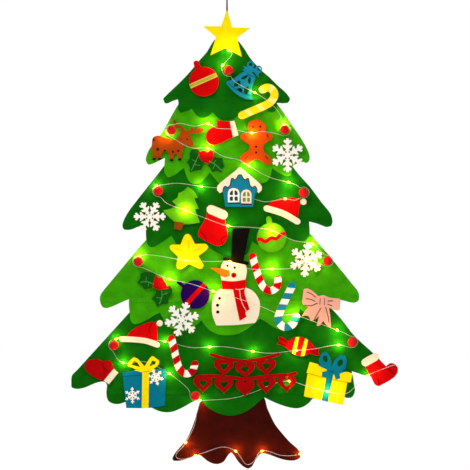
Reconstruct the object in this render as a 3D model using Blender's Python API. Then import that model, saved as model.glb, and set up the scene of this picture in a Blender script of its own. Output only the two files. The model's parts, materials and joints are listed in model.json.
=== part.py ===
"""Felt christmas tree, a wall hanging, modelled piece by piece.

Metres, +Z up. The tree faces -Y and hangs flat against the wall plane.
The origin is the point where the hanging loop rests on its hook.
Outlines are pixel coordinates of the photograph, x to the right and y down, and
place() turns them into real sizes. Depths are distances in front of the felt's back.
"""
import math

import bmesh
import bpy
import numpy as np
from mathutils import Vector, geometry

# Driving sizes of the whole tree
TREE_HEIGHT = 1.009
TREE_WIDTH = 0.717

# The same two sizes, and the hook point, measured in the photograph
TREE_HEIGHT_PX = 458.5
TREE_WIDTH_PX = 326.0
HOOK_POINT_PX = (227.0, -12.0)

# Felt, hook tape and the clearance between pieces that touch
TIER_FELT = 0.002
ORNAMENT_FELT = 0.003
GAP = 0.0003
HOOK_DOT_RADIUS = 0.007
HOOK_DOT_THICKNESS = 0.0023
MERGE_DISTANCE = 0.00002

# Pompoms, light wire and hanging cord
POMPOM_RADIUS = 0.0112
POMPOM_STEM_RADIUS = 0.0025
WIRE_DIAMETER = 0.0012
WIRE_STEP = 0.055
WIRE_TURN_POINTS = 4
WIRE_APPROACH = 0.012
CORD_DIAMETER = 0.0022
CORD_LOOP_HALF_WIDTH = 0.005
CORD_LOOP_HEIGHT = 0.016
CORD_NECK_HALF_WIDTH = 0.0018
CORD_END_PX = 40.0

# Battery box for three AA cells
CELL_DIAMETER = 0.0145
CELL_LENGTH = 0.0492
CELL_NUB_DIAMETER = 0.0055
CELL_NUB_LENGTH = 0.0013
CELL_CLEARANCE = 0.0004
CONTACT_THICKNESS = 0.0005
CONTACT_WIDTH = 0.011
CASE_WALL = 0.0016
SWITCH_BAY = 0.013
COVER_THICKNESS = 0.0015
COVER_SKIRT = 0.006
SWITCH_LENGTH = 0.005
SWITCH_WIDTH = 0.003
SWITCH_RISE = 0.0016
SWITCH_FLANGE = 0.0012
SWITCH_OVERLAP = 0.0006
SWITCH_TRAVEL = 0.003
GLAND_RADIUS = 0.002
GLAND_LENGTH = 0.003
TAPE_THICKNESS = 0.002
TAPE_INSET = 0.006
BATTERY_BOX_PX = (233.0, 427.0)
CUT_OVERRUN = 0.002

# How finely round shapes are drawn
DISC_SIDES = 22
SMALL_SIDES = 10
BALL_RINGS = 6
BALL_SIDES = 10
CELL_SIDES = 16
CORNER_TURN = math.radians(50)
STRAIGHT_SIDE_PX = 50.0

# The felt's back plane lies behind the hanging cord, whose middle is at y = 0
FELT_BACK_Y = -(GAP + CORD_DIAMETER / 2)

# Colours
DARK_GREEN = (0.0, 0.12, 0.0)
LIGHT_GREEN = (0.06, 0.37, 0.0)
BROWN = (0.05, 0.01, 0.0)
YELLOW = (0.95, 0.8, 0.0)
RED = (0.65, 0.0, 0.0)
DARK_RED = (0.4, 0.0, 0.0)
CREAM = (0.9, 0.83, 0.68)
BLUE = (0.02, 0.26, 0.42)
PINK = (0.9, 0.4, 0.26)
PURPLE = (0.03, 0.0, 0.12)
GINGER = (0.5, 0.08, 0.01)
SILVER = (0.75, 0.75, 0.72)
PLASTIC = (0.85, 0.85, 0.83)
METAL = (0.7, 0.7, 0.72)
CELL_GREEN = (0.1, 0.25, 0.1)
BLACK = (0.02, 0.02, 0.02)

# Tier outlines: the tucked top strip, then round the hem from right to left
TIER_1_PX = (
    (226, 25), (232, 34), (239, 42), (245, 50), (250, 58), (257, 66), (263, 72), (270, 78), (278, 86),
    (285, 92), (289, 97), (290, 100), (288, 103), (283, 103.5), (277, 103), (276, 110), (272, 112.5),
    (268, 111), (262, 106), (257, 112), (251, 115.5), (246, 114.5), (240, 111), (239, 114), (234, 118.5),
    (228, 120), (220, 119), (216, 116), (213, 112.5), (208, 116.5), (203, 118), (198, 116.5), (194, 112),
    (192, 108.5), (187, 111), (181, 113), (178, 109), (178.5, 104), (178, 99.5), (172, 101.5),
    (168, 103.5), (165, 103.5), (163.5, 100), (164, 98), (172, 90), (180, 82.5), (190, 72), (200, 60),
    (207, 52), (213, 42), (220, 34))
TIER_2_PX = (
    (181, 102.5), (274, 102.5), (277, 104), (283, 112), (289, 121), (296, 131), (302, 140), (307, 149),
    (309.5, 156), (309, 161), (306, 163.5), (302, 162), (293, 165.5), (291, 175), (287, 176.5), (281, 174),
    (276, 171), (272, 168), (270, 177), (267, 181.5), (262, 183.5), (258, 182.5), (252, 178), (246, 173),
    (241, 179), (234, 184), (227, 185.5), (221, 184), (217, 181), (210, 172.5), (204, 179.5), (199, 183),
    (194, 184), (190, 182), (187, 178), (184, 168), (179, 172), (173, 176), (168, 177.5), (164.5, 172),
    (164.5, 165), (165, 158), (156, 162.5), (151, 164.5), (148, 164.5), (146, 161), (146.5, 156),
    (149, 150), (154, 143), (160, 136), (165, 128), (170, 119), (178, 105))
TIER_3_PX = (
    (168.5, 160.5), (288, 160.5), (292, 166), (300, 176), (310, 187), (322, 203), (330, 213), (332.5, 221),
    (331, 226), (326, 227), (318, 224), (309, 221.5), (309.5, 229), (309, 236), (305, 241), (298, 241),
    (292, 239.5), (285.5, 235.5), (281, 243), (274, 248.5), (267, 249), (260, 246), (252, 241), (250, 247),
    (247, 254), (239, 256.5), (229.8, 255.8), (220.6, 254), (212, 249.3), (205, 242.5), (198, 249),
    (190, 252), (182, 249.5), (176, 243), (171.5, 235.5), (162, 242), (155, 246.5), (150, 247), (147, 243),
    (146, 235), (146, 227), (140, 226.3), (133, 229), (128, 230), (124, 229.5), (122.5, 226), (124, 220),
    (129, 211), (135, 203), (142, 194), (150, 184), (158, 174), (164, 166))
TIER_4_PX = (
    (157.5, 226.5), (303, 226.5), (309.5, 233), (318, 243), (327, 253), (336, 264), (345, 275), (353, 285),
    (357, 290), (359, 295), (358.5, 300), (355, 302.5), (349, 302), (341, 300), (330, 300.5), (328, 306),
    (322, 312), (314, 315), (306, 313), (300, 308.5), (298, 316), (294, 323), (287, 328), (280, 329.5),
    (273, 326.5), (266, 322), (260.3, 318.6), (250.5, 326.3), (239, 333.3), (228, 335), (218, 334),
    (208.4, 329), (201.5, 320), (196, 325), (188, 330), (180, 331), (171, 328), (165, 322), (163, 318),
    (160, 312.5), (155, 315), (147, 320), (139, 323.5), (134, 324), (131, 321), (130, 315), (129, 305),
    (129, 299), (120, 303), (112, 306.5), (106, 308), (102, 306), (100, 300), (101, 294), (108, 285),
    (118, 273), (128, 261), (138, 249), (146, 240))
TIER_5_PX = (
    (138, 303.5), (325, 303.5), (332, 309), (342, 320), (352, 333), (362, 343), (372, 352), (381, 361),
    (386, 369), (384, 375), (378, 377), (366, 375.5), (358, 373), (351.5, 371), (353, 377), (354, 384),
    (355, 390), (353, 395.5), (350, 397.5), (345, 397), (338, 392), (332, 386), (328, 393), (321, 397.5),
    (315, 398), (312, 399), (309, 402.5), (303, 406.5), (296, 408), (287, 406.5), (278, 403.5),
    (270, 400), (264, 397), (258, 402), (251, 408), (243, 412.5), (234, 415), (226, 415), (216, 412),
    (208, 407), (202, 401), (199, 398.5), (191, 402.5), (183, 407), (174, 411), (167, 412), (160, 411),
    (153, 408), (144, 402), (137, 396), (132, 399.5), (126, 401.5), (120, 403.5), (114, 403.5), (109, 401),
    (107, 397), (106.5, 391), (107, 385), (105, 382), (101, 381.5), (94, 383.5), (86, 387), (80, 388.5),
    (75, 388.5), (71.5, 387), (71.5, 378), (73, 374), (78, 369), (88, 358), (98, 347), (108, 336),
    (118, 325), (128, 314))
TRUNK_PX = (
    (203, 396), (262, 396), (265, 399), (267, 407), (270, 414), (275, 424), (282, 433), (290, 442),
    (297, 448), (300, 453), (300, 457.5), (295, 460), (287, 460), (279, 458), (271, 455), (264, 453),
    (260, 454), (256, 459), (252, 466), (248, 468.5), (243, 466), (238, 461), (234, 455), (231, 452),
    (228, 455), (224, 461), (219, 463.5), (214, 463.5), (208, 461), (203, 457), (199, 454.5), (193, 456),
    (186, 459), (179, 460.5), (173.5, 460.5), (172.5, 458), (175, 453), (180, 447), (186, 440),
    (191, 430), (195, 419), (198, 409), (200, 402))

# Each tier bends forward between these two heights, to pass over the strip tucked behind it
TIER_BENDS_PX = {"tier_1": (96.5, 101.0), "tier_2": (154.0, 159.0), "tier_3": (220.0, 225.0),
                 "tier_4": (297.0, 302.0), "tier_5": (389.5, 394.5)}
CREASE_OVERRUN_PX = 1.0
TOP_STAR_PX = (
    (227, 10), (232.4, 27.9), (250.4, 28.3), (237, 38.3), (242, 57.4), (226, 47.8), (210.2, 55.9),
    (216, 37.5), (203, 26.4), (221, 26.8))

# Pompoms: where each is sewn on
POMPOMS_PX = (
    (228.4, 70.8), (284.6, 130.2), (171.8, 130.8), (303.2, 192.7), (158.6, 191.1),
    (327.5, 260.8), (138.6, 261.4), (352, 341.7), (114.4, 344.8), (195.7, 395))

# Outlines of the ornaments that are drawn point by point
BELL_BODY_PX = (
    (248, 71.5), (243, 72.5), (238.5, 75.5), (232, 80), (226, 82.2), (229, 87.5), (234, 92.5), (240, 96.8),
    (247, 99.8), (253.2, 100.4), (251.2, 94.9), (252, 88), (254.6, 81), (255.4, 76.5), (252, 73))
BELL_TAIL_PX = ((249.5, 68), (243, 66.2), (244.8, 69), (241.8, 70.6), (248, 72.5), (254, 72.5),
                (258.8, 78.2), (258.6, 73.5), (261.8, 73.2), (254.5, 68.5))
BELL_CUTS_PX = (
    ((242.2, 78.5), (247.5, 75.6), (247.8, 76.6), (243.4, 79.6)),
    ((236, 82.8), (240, 80.8), (240.5, 84.5), (237, 86)),
    ((243.5, 88.5), (248.4, 86.2), (249.2, 91.5), (246.2, 91.8)))
MITTEN_TOP_PX = (
    (217.5, 120.2), (223, 121.3), (229.5, 121.8), (234.3, 120.8), (238.5, 135.5), (234.3, 137),
    (228, 140), (221, 143.2), (214.5, 145.3), (209, 143.6), (206.2, 139), (206.6, 133.5), (209.5, 129.8),
    (213.5, 127.6), (217.6, 126.6), (216.8, 123))
GINGERBREAD_PX = (
    (249.5, 131.5), (247.8, 127), (249, 123), (252.5, 120.7), (256.5, 120.2), (261, 121), (264.5, 124),
    (266, 128), (264.8, 132.6), (268.5, 133.2), (271.5, 134.6), (272.6, 137.2), (271.2, 140),
    (267.5, 142.3), (264, 144.7), (263.3, 148), (264, 151.6), (267.5, 155.3), (270.6, 157.8),
    (271.8, 161), (270.2, 164), (266.6, 165), (263.3, 163.2), (259.8, 160), (256.5, 159.2), (252.8, 160.6),
    (249, 163), (244.8, 163.8), (241.4, 162), (240, 158.6), (241.6, 155.3), (245, 153), (248.3, 150.8),
    (249.4, 147.5), (248.4, 144.5), (244.6, 142.4), (241.6, 140.3), (240.4, 137.3), (241.6, 134.4),
    (245, 133.2))
REINDEER_PX = (
    (152.6, 139.5), (154, 137), (158, 136), (163, 137), (169, 138.8), (175, 140.6), (178.3, 139.4),
    (179.4, 135.5), (180.6, 131.5), (183.4, 129.6), (187, 131.6), (190, 134.6), (191.6, 139),
    (193.6, 143.4), (192.6, 146.6), (189.6, 146.6), (186, 144.6), (183.4, 146), (182.8, 150),
    (181.8, 155), (181.4, 160.6), (178.4, 160.8), (177.6, 155.6), (175.6, 152.8), (173.8, 156),
    (173.2, 161.4), (170.2, 161.4), (169.4, 155.6), (167.6, 151.8), (163.8, 151.6), (161.8, 154.4),
    (161.4, 159.8), (158.4, 160.4), (157.4, 154.6), (155.6, 160.4), (152.6, 160.2), (152.4, 152),
    (152, 145))
REINDEER_STROKES_PX = (
    (((187, 133.4), (191.5, 131.6), (197, 132.4), (202, 130)), 3.6),
    (((192.6, 132), (191.8, 128.6)), 3.0),
    (((198.4, 132), (199.4, 128.8)), 3.0),
    (((184, 131.4), (181, 127.6), (176.5, 127)), 2.8),
    (((176.6, 127.2), (174.4, 121)), 2.8))
HOLLY_TOP_LEFT_PX = (
    (191.5, 150), (197, 149.4), (201, 152), (204, 157), (206, 161.6), (203, 165.4), (201.4, 170),
    (195.6, 171), (190, 172.4), (189.8, 167), (187, 162.4), (190, 158.2), (189.6, 154))
HOLLY_TOP_RIGHT_PX = (
    (209, 158), (213.4, 156.6), (217.6, 158), (222.6, 158.4), (222.8, 163), (224.4, 166.8), (221.4, 169.4),
    (221.6, 173), (216.8, 171.4), (212, 172.4), (210.4, 168.4), (207.2, 165.4))
HOLLY_TOP_BERRIES_PX = (
    (200, 153.4), (202.4, 151), (205.6, 151.2), (207.2, 152.8), (210.2, 150.4), (213, 151.6), (213.4, 155.4),
    (211, 160), (207.4, 163.8), (203.4, 160.6), (200.8, 157))
HOUSE_PX = (
    (240, 167.2), (249, 174.7), (258, 182.2), (261.6, 186.3), (261.6, 190.4), (258.6, 193.3),
    (255.6, 192.4), (252.8, 206.8), (225.4, 206.8), (223, 192.4), (219.8, 193.3), (217.2, 190.4),
    (217.6, 186.2), (221.4, 182.1), (230.6, 174.8))
FIR_SMALL_PX = (
    (188, 187), (194, 191.4), (198, 198), (194.4, 198.4), (199, 209), (195.2, 209.2), (200, 222.6),
    (190, 224.2), (183.4, 224.4), (181.6, 230), (174.2, 229.2), (175, 222.4), (169, 217), (163, 210.4),
    (171.6, 208.4), (176.2, 205.2), (172, 201.4), (177.8, 197.4), (178.6, 193), (182.6, 191.6))
STOCKING_MID_PX = (
    (206.6, 212.6), (205.6, 218), (202, 224.5), (199, 230), (198, 235), (201, 238.4), (210, 243),
    (217, 246), (223, 244.5), (227, 239), (227.6, 232), (225.4, 224), (225.4, 218.4), (216, 214.6))
STOCKING_MID_CUFF_PX = (((211, 209.6), (223.4, 214.8)), 9.2)
HAT_RIGHT_BODY_PX = (
    (266.6, 206.4), (270, 202.8), (276, 200), (285, 197.6), (295, 198), (301.4, 200.4), (299.6, 206),
    (298.4, 213), (297, 221), (284, 214))
HAT_RIGHT_BRIM_PX = (((266.4, 208.4), (283, 213.6), (297.4, 221.6)), 6.2)
STAR_YELLOW_PX = (
    (187.5, 234), (190.4, 235.2), (195, 244), (205.4, 243.8), (208, 246.5), (206.8, 249.6), (198.5, 256),
    (203.8, 265), (202.5, 268.2), (199, 268.6), (189, 263.6), (181, 269.4), (177.5, 268.5), (176.8, 265),
    (178.4, 256.6), (170.6, 249.4), (170, 246), (172.6, 244.6), (180.6, 244.6), (184.6, 235.6))
SNOWMAN_HAT_PX = ((232.5, 228.4), (250, 228.4), (243.4, 261), (231, 258.6))
SNOWMAN_BRIM_PX = (((224.6, 258.8), (247.4, 263.2)), 3.4)
SNOWMAN_HEAD_PX = (
    (223.6, 262), (232, 259.6), (243, 262.6), (246.4, 267), (246.8, 273), (245, 281), (222.2, 281.6),
    (220.6, 276), (220.8, 268))
SNOWMAN_NOSE_PX = ((210.6, 267.6), (222, 268.6), (228.6, 270.6), (229, 275), (225.6, 276.6), (219, 273.6))
SNOWMAN_SCARF_PX = ((221.2, 281), (245.8, 279.8), (246, 287.6), (222.6, 289))
SNOWMAN_BODY_PX = (
    (221.4, 288.6), (234, 286.6), (246.4, 287.6), (253.6, 291.6), (258.6, 298.6), (260, 306),
    (258.4, 316), (255, 322.6), (235, 324.8), (216.4, 325.2), (212.8, 316), (211.8, 306),
    (213.6, 297.6), (217, 291.6))
HOLLY_LEFT_UPPER_PX = (
    (146, 271.8), (152, 272.4), (157, 275.4), (159, 281), (156.4, 287.4), (150, 288), (144.4, 289.2),
    (142, 285), (137, 282.6), (140.2, 279), (140.6, 273.8))
HOLLY_LEFT_LOWER_PX = (
    (157, 287), (165, 287), (169.6, 285.6), (172.6, 290), (170.8, 295.4), (168.4, 298.4), (168, 303.4),
    (162, 304.2), (157, 306.6), (155.6, 302), (151.8, 298.6), (155.6, 294))
HOLLY_LEFT_BERRY_PX = ((157.6, 277), (162, 277), (166, 283.4), (167.2, 287.6), (160, 289), (153.8, 287.6),
                       (154.8, 282))
BOW_PINK_PX = (
    (303.4, 289.4), (306.4, 288.2), (312, 290.6), (318.4, 296), (323.6, 295), (329.6, 297.4),
    (339.4, 298.4), (340.2, 301), (339.4, 310), (335, 310), (328.6, 307.4), (330, 316), (330.6, 327.6),
    (326.4, 325), (323, 320.6), (319.4, 325.2), (316.4, 325.4), (319, 315.6), (314.4, 319.4),
    (310.6, 320.8), (308.6, 316.4), (304.6, 315.2), (301.6, 316.4), (304.4, 311.6), (308.4, 306.8),
    (303.4, 305), (302.2, 301))
HAT_LEFT_BODY_PX = (
    (125.4, 338), (128.6, 333.4), (134, 328.6), (143, 324), (152, 321.6), (157, 322.6), (157.6, 330),
    (157.4, 341.4), (142, 340.8))
HAT_LEFT_BRIM_PX = (((122.4, 338.8), (134, 339.4), (146, 340.8), (157.4, 344.6)), 5.4)
MITTEN_LEFT_PX = (
    (85, 366), (87, 361.4), (92, 358.8), (99, 358.8), (103.4, 361.4), (107.4, 359.8), (111, 361),
    (112.6, 364.4), (114.4, 368.8), (118.6, 372.4), (109.2, 384), (104.6, 380.8), (97, 378), (90.6, 374),
    (86, 370))
GIFT_BLUE_PX = ((122.5, 372.4), (133, 370.4), (134.5, 369.6), (164.4, 368.6), (166.2, 369.4),
                (165, 405.4), (148, 407.6), (126.4, 407.6))
GIFT_BLUE_BOW_PX = (
    (142.6, 371), (127.6, 365.6), (129.6, 361), (134, 357), (138, 358.6), (144.6, 366), (150.4, 357.4),
    (153, 355.8), (159, 360), (158.4, 364.6), (150, 370.6))
CANDY_WRAP_LEFT_PX = ((289, 341), (281, 336.4), (278, 336.6), (279.4, 340.4), (276.6, 343.6), (282, 345.4),
                      (290, 350.6))
CANDY_WRAP_RIGHT_PX = ((310.6, 342), (313.8, 346), (318.8, 348.6), (318, 351.6), (320, 355.2),
                       (314.6, 355), (308, 352.4))
CANDY_BODY_PX = ((300, 346.2), (12.6, 9.4), 12.0)
GIFT_YELLOW_PX = (
    (309.8, 361.6), (352.2, 373.2), (350.4, 382.2), (347.2, 381.6), (343, 404.6), (303.6, 396),
    (307.6, 373), (306.4, 372.4))
GIFT_YELLOW_BOW_PX = (
    ((330.6, 369.6), (320.4, 364), (319, 359), (322, 353), (326, 351.8), (328.8, 355), (331.4, 362)),
    ((330, 369), (335, 359.4), (341, 355), (345, 355.6), (346.6, 361), (345, 369), (337, 371)))
STOCKING_RIGHT_PX = (
    (364.6, 366), (378, 359), (381.8, 361.8), (385.8, 366), (389.6, 363), (394, 363.4), (397.4, 367.4),
    (397.2, 372), (394, 376.8), (386, 382), (378.4, 385.8), (374.4, 383.8), (370.6, 376))
STOCKING_RIGHT_CUFF_PX = (((364.8, 362.2), (375.2, 356.4)), 7.6)

# Canes: the middle of the strip and its width
CANE_YELLOW_PX = (((241.8, 115.8), (252, 111.4), (263, 106.8), (270.6, 102.4), (274.4, 96),
                   (272.6, 90.4), (267.6, 88), (262.6, 90)), 7.8)
CANE_RED_MID_PX = (((252.6, 256.4), (255.4, 267), (259.4, 279), (263.6, 287), (270, 290.6),
                    (276.6, 287), (278, 279)), 7.4)
CANE_BLUE_PX = (((292, 285.6), (286.6, 297), (280.6, 309.6), (278, 318.6), (280.6, 324.6),
                 (285.6, 326.8), (292, 324.2), (296.4, 316.4)), 7.6)
CANE_RED_LEFT_PX = (((171.6, 338), (174.2, 348), (176.8, 360), (180.4, 369.6), (186, 373.4),
                     (192, 371.2), (195.2, 363.4)), 7.2)

# Round parts: centre and radius
BELL_RINGS_PX = (((250.6, 65.4), 3.8), ((258.4, 69.6), 3.6))
BELL_RING_HOLES_PX = (((250.6, 64.8), 1.8), ((259.2, 69.4), 1.6))
BALL_RED_PX = ((203.9, 82), 14.8)
BALL_RED_NECK_PX = (((197, 66), (199, 70)), 6.0)
BALL_RED_KNOB_PX = ((196.4, 63.8), 2.9)
BALL_GREEN_PX = ((271.5, 237.4), 14.8)
BALL_GREEN_NECK_PX = (((268.6, 218.8), (269.6, 224)), 5.4)
BALL_PURPLE_PX = ((195.2, 294.4), 14.4)
BALL_PURPLE_NECK_PX = (((178.6, 282.2), (185, 287)), 3.4)
HAT_RIGHT_POM_PX = ((303.4, 201.9), 3.1)
HAT_LEFT_POM_PX = ((159.9, 323), 3.1)

# Snowflakes: centre, radius and turn in degrees
SNOWFLAKE_1_PX = ((287.4, 155.4), 17.4, 90)
SNOWFLAKE_2_PX = ((149.8, 216.6), 16.4, 0)
SNOWFLAKE_3_PX = ((306, 260), 17.4, 36)
SNOWFLAKE_4_PX = ((182, 319), 17.8, 46.5)

# Where each ornament's dot of hook tape is sewn on
HOOK_DOTS_PX = {
    "bell": (239, 90), "mitten_top": (217, 136), "gingerbread": (256, 152), "reindeer": (165, 145.5),
    "holly_top": (197, 162), "fir_small": (184, 217.6), "stocking_mid": (214, 231),
    "hat_right": (287, 208.6), "ball_green": (271.5, 244), "star_yellow": (188.6, 251.4),
    "snowman": (232, 314), "cane_red_mid": (258.4, 276.4), "snowflake_3": (306, 260),
    "holly_left": (161, 295.4), "ball_purple": (195, 299), "cane_blue": (283.8, 302.6),
    "bow_pink": (321.6, 304), "candy": (300, 343.6), "gift_yellow": (316, 384),
    "stocking_right": (376.4, 365.4), "ball_red": (203.9, 82), "cane_yellow": (254, 110.5),
    "snowflake_1": (287.4, 155.4), "snowflake_2": (149.8, 216.6), "snowflake_4": (182, 319),
    "house": (240, 182.6), "hat_left": (148, 329.4), "cane_red_left": (176, 356.6),
    "mitten_left": (99, 368.4), "gift_blue": (146, 383), "garland": (245, 388)}

# Snowflakes: one arm's side, as shares of the flake's radius along and across the arm
SNOWFLAKE_ARM_SHARES = ((0.34, 0.09), (0.50, 0.26), (0.60, 0.28), (0.56, 0.09), (0.66, 0.09),
                        (0.78, 0.24), (0.90, 0.20), (0.84, 0.09), (0.97, 0.08))
SNOWFLAKE_VALLEY_SHARE = 0.27
SNOWFLAKE_ARMS = 6

# Garland: two hanging ribbons with hearts, their centres and sizes; the middle one is closed
GARLAND_RIBBONS_PX = (((211, 354), (224, 357.8), (245, 360.6), (266, 357.4), (279, 353.6)),
                      ((196.4, 376.6), (203, 375.6), (224, 376), (245, 378.5), (266, 375.6), (286.5, 374.4),
                       (296, 372.6)))
GARLAND_RIBBON_WIDTH_PX = 3.2
OPEN_HEARTS_PX = (
    ((224, 365.6), 10.0), ((245, 368.4), 10.0), ((266, 365.2), 10.0), ((203, 382.4), 9.6),
    ((224, 383.6), 9.6), ((266, 383.2), 9.6), ((286.5, 382.0), 9.6))
MIDDLE_HEART_PX = ((245, 386.1), 9.6)
HEART_HOLE_SHARE = 0.42
HEART_WAVE_SHARES = (0.8125, -0.3125, -0.125, -0.0625)
HEART_SIDES = 16

# The light wire's route from the star down to the battery box, points chosen by hand.
# A point is x, y and the side of the felt; "round" passes a pompom, from one angle to another.
FRONT = "front"
BACK = "back"
WIRE_UPPER_PX = (
    (227.8, 50.5, FRONT), (232, 54, FRONT), (226, 62, FRONT), (221.6, 67.6, FRONT), ("round", 0, 200, 290),
    (233.6, 81.1, FRONT), (244.5, 87.8, FRONT), (254.6, 93, FRONT), (266.5, 100.2, FRONT),
    (275.6, 108.6, FRONT), (280.4, 116, FRONT), ("round", 1, 110, -110), (275.4, 133.6, FRONT),
    (261.4, 131.7, FRONT), (251.8, 133.4, FRONT), (232, 129.5, FRONT), (216.7, 128.3, FRONT),
    (207.8, 123.8, FRONT), (195, 126.4, FRONT), (180.4, 123.6, FRONT), ("round", 2, 80, 250),
    (176.6, 140.6, FRONT), (182.3, 144.2, FRONT), (192.5, 148.2, FRONT), (207.8, 148.4, FRONT),
    (224.4, 157, FRONT), (238.4, 159.9, FRONT), (248.6, 165.9, FRONT), (269.7, 177.4, FRONT),
    (288.8, 182.5, FRONT), (296.6, 185.2, FRONT), ("round", 3, 125, -120), (295.4, 200.2, FRONT),
    (285.3, 199, FRONT), (265.6, 201.9, FRONT), (257.6, 200.2, FRONT), (246, 196.4, FRONT),
    (225.2, 189.2, FRONT),
    (201.1, 186.5, FRONT), (178, 183.3, FRONT), (165, 184.6, FRONT), ("round", 4, 80, 285),
    (166.9, 203.4, FRONT), (185.8, 210.5, FRONT), (209.5, 219.8, FRONT), (228, 225.9, FRONT),
    (252, 227.4, FRONT), (271.4, 230.4, FRONT), (292.7, 240.1, FRONT), (312.1, 243.8, FRONT),
    (321.4, 251.6, FRONT), ("round", 5, 110, -110), (315.8, 262.4, FRONT), (289, 268.4, FRONT),
    (272.3, 268.8, FRONT), (249.4, 268.6, FRONT))
WIRE_LOWER_PX = (
    (249.4, 268.6, FRONT), (229.8, 261.4, FRONT), (213.2, 261.4, FRONT), (185.4, 260.4, FRONT),
    (161.4, 256.2, FRONT), (146, 254.6, FRONT), ("round", 6, 75, 290), (154, 272.5, FRONT),
    (168.8, 278.9, FRONT), (191, 283.6, FRONT), (213.2, 291, FRONT), (237.8, 298.2, FRONT),
    (260.3, 306, FRONT), (281.4, 314.4, FRONT), (293.3, 314.4, FRONT), (312.2, 320.7, FRONT),
    (336.8, 329.8, FRONT), (346, 333.6, FRONT), ("round", 7, 110, -110), (338.2, 344.6, FRONT),
    (312.3, 348.8, FRONT), (296.1, 350, FRONT), (270.2, 353, FRONT), (252.6, 351, FRONT),
    (225.3, 346.6, FRONT), (209.8, 346.6, FRONT), (191.5, 347.4, FRONT), (167.7, 341.7, FRONT),
    (144, 338, FRONT), (122.8, 336.1, FRONT), ("round", 8, 80, 255), (118, 359.4, FRONT),
    (127, 363.5, FRONT), (144.5, 361.4, FRONT), (167, 371.9, FRONT), (183.1, 383.8, FRONT),
    ("round", 9, 150, 300), (212, 399.6, FRONT), (234, 397.6, FRONT), (256, 391, FRONT), (272, 384, FRONT),
    (289.8, 380.6, FRONT), (304.5, 385, FRONT), (327, 391, FRONT), (345.9, 393.2, FRONT),
    (356, 385, FRONT), (367, 375.4, FRONT), (380, 369.6, FRONT), (399.4, 363.2, FRONT),
    (399.4, 365.6, BACK), (386, 373, BACK), (352, 368, BACK), (300, 385, BACK), (262, 399, BACK),
    (259, 414, BACK), (272, 432, BACK), (300.4, 446, BACK), (303.4, 450.2, FRONT), (297, 454.4, FRONT),
    (281.4, 455, FRONT), (261.7, 450.5, FRONT), (253, 462, FRONT), (246.6, 464.4, FRONT),
    (240.7, 456.8, FRONT), (235.7, 450.5, FRONT), (222.4, 446.6, FRONT), (202.8, 452.6, FRONT),
    (176.6, 457.6, FRONT), (185.2, 443.4, FRONT), (194.6, 424.5, FRONT), (196.4, 409.6, FRONT),
    (194.6, 405.4, BACK), (200, 412, BACK))
# Loose pieces that the wire runs behind; it lies over all the others
LOOSE = ("ball_red", "cane_yellow", "snowflake_1", "snowflake_2", "snowflake_4", "house", "hat_left",
         "cane_red_left", "mitten_left", "gift_blue", "garland")


def place(point):
    """Turns a photograph pixel into x and z in metres."""
    x = (point[0] - HOOK_POINT_PX[0]) * TREE_WIDTH / TREE_WIDTH_PX
    z = (HOOK_POINT_PX[1] - point[1]) * TREE_HEIGHT / TREE_HEIGHT_PX
    return (x, z)


def disc(centre, radius, sides=DISC_SIDES, squash=1.0, turn=0.0):
    """A round or oval outline."""
    outline = []
    for i in range(sides):
        angle = 2 * math.pi * i / sides
        x = radius * math.cos(angle)
        y = radius * squash * math.sin(angle)
        outline.append((centre[0] + x * math.cos(turn) - y * math.sin(turn),
                        centre[1] + x * math.sin(turn) + y * math.cos(turn)))
    return outline


def curve_between(before, start, end, after, share):
    """A point of the smooth curve from start to end, which leans on both neighbours."""
    square, cube = share ** 2, share ** 3
    return tuple((2 * s + (e - b) * share + (2 * b - 5 * s + 4 * e - a) * square
                  + (3 * s - b - 3 * e + a) * cube) / 2
                 for b, s, e, a in zip(before, start, end, after))


def turn_at(before, corner, after):
    """How far the outline turns at a corner, in radians."""
    first = Vector(corner) - Vector(before)
    second = Vector(after) - Vector(corner)
    return abs(first.angle_signed(second, 0.0))


def smooth(outline, steps=2):
    """A closed outline with its gentle corners rounded into curves; its long sides stay straight."""
    count = len(outline)
    straight = [math.dist(outline[i], outline[(i + 1) % count]) > STRAIGHT_SIDE_PX for i in range(count)]
    sharp = [turn_at(outline[i - 1], outline[i], outline[(i + 1) % count]) > CORNER_TURN
             or straight[i - 1] or straight[i] for i in range(count)]
    rounded = []
    for i in range(count):
        start, end = outline[i], outline[(i + 1) % count]
        before = start if sharp[i] else outline[i - 1]
        after = end if sharp[(i + 1) % count] else outline[(i + 2) % count]
        rounded.append(start)
        if sharp[i] and sharp[(i + 1) % count]:
            continue
        rounded += [curve_between(before, start, end, after, k / steps) for k in range(1, steps)]
    return rounded


def smooth_route(points, steps=3):
    """An open smooth curve through a short list of points."""
    route = []
    for i in range(len(points) - 1):
        before = points[max(i - 1, 0)]
        after = points[min(i + 2, len(points) - 1)]
        route += [curve_between(before, points[i], points[i + 1], after, k / steps) for k in range(steps)]
    return route + [points[-1]]


def stroke(points, width, steps=3, cap_sides=4):
    """The outline of a strip of even width with round ends."""
    route = [Vector(p) for p in (smooth_route(points, steps) if len(points) > 2 else points)]
    left, right = [], []
    for i, point in enumerate(route):
        ahead = route[min(i + 1, len(route) - 1)] - route[max(i - 1, 0)]
        side = Vector((-ahead.y, ahead.x)).normalized() * width / 2
        left.append(point + side)
        right.append(point - side)
    return (left + half_round(route[-1], left[-1], cap_sides) + right[::-1]
            + half_round(route[0], right[0], cap_sides))


def half_round(centre, start, sides):
    """Points of a half circle round a centre, without its two ends."""
    arm = start - centre
    return [centre + Vector((arm.x * math.cos(a) - arm.y * math.sin(a),
                             arm.x * math.sin(a) + arm.y * math.cos(a)))
            for a in (-math.pi * k / sides for k in range(1, sides))]


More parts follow.
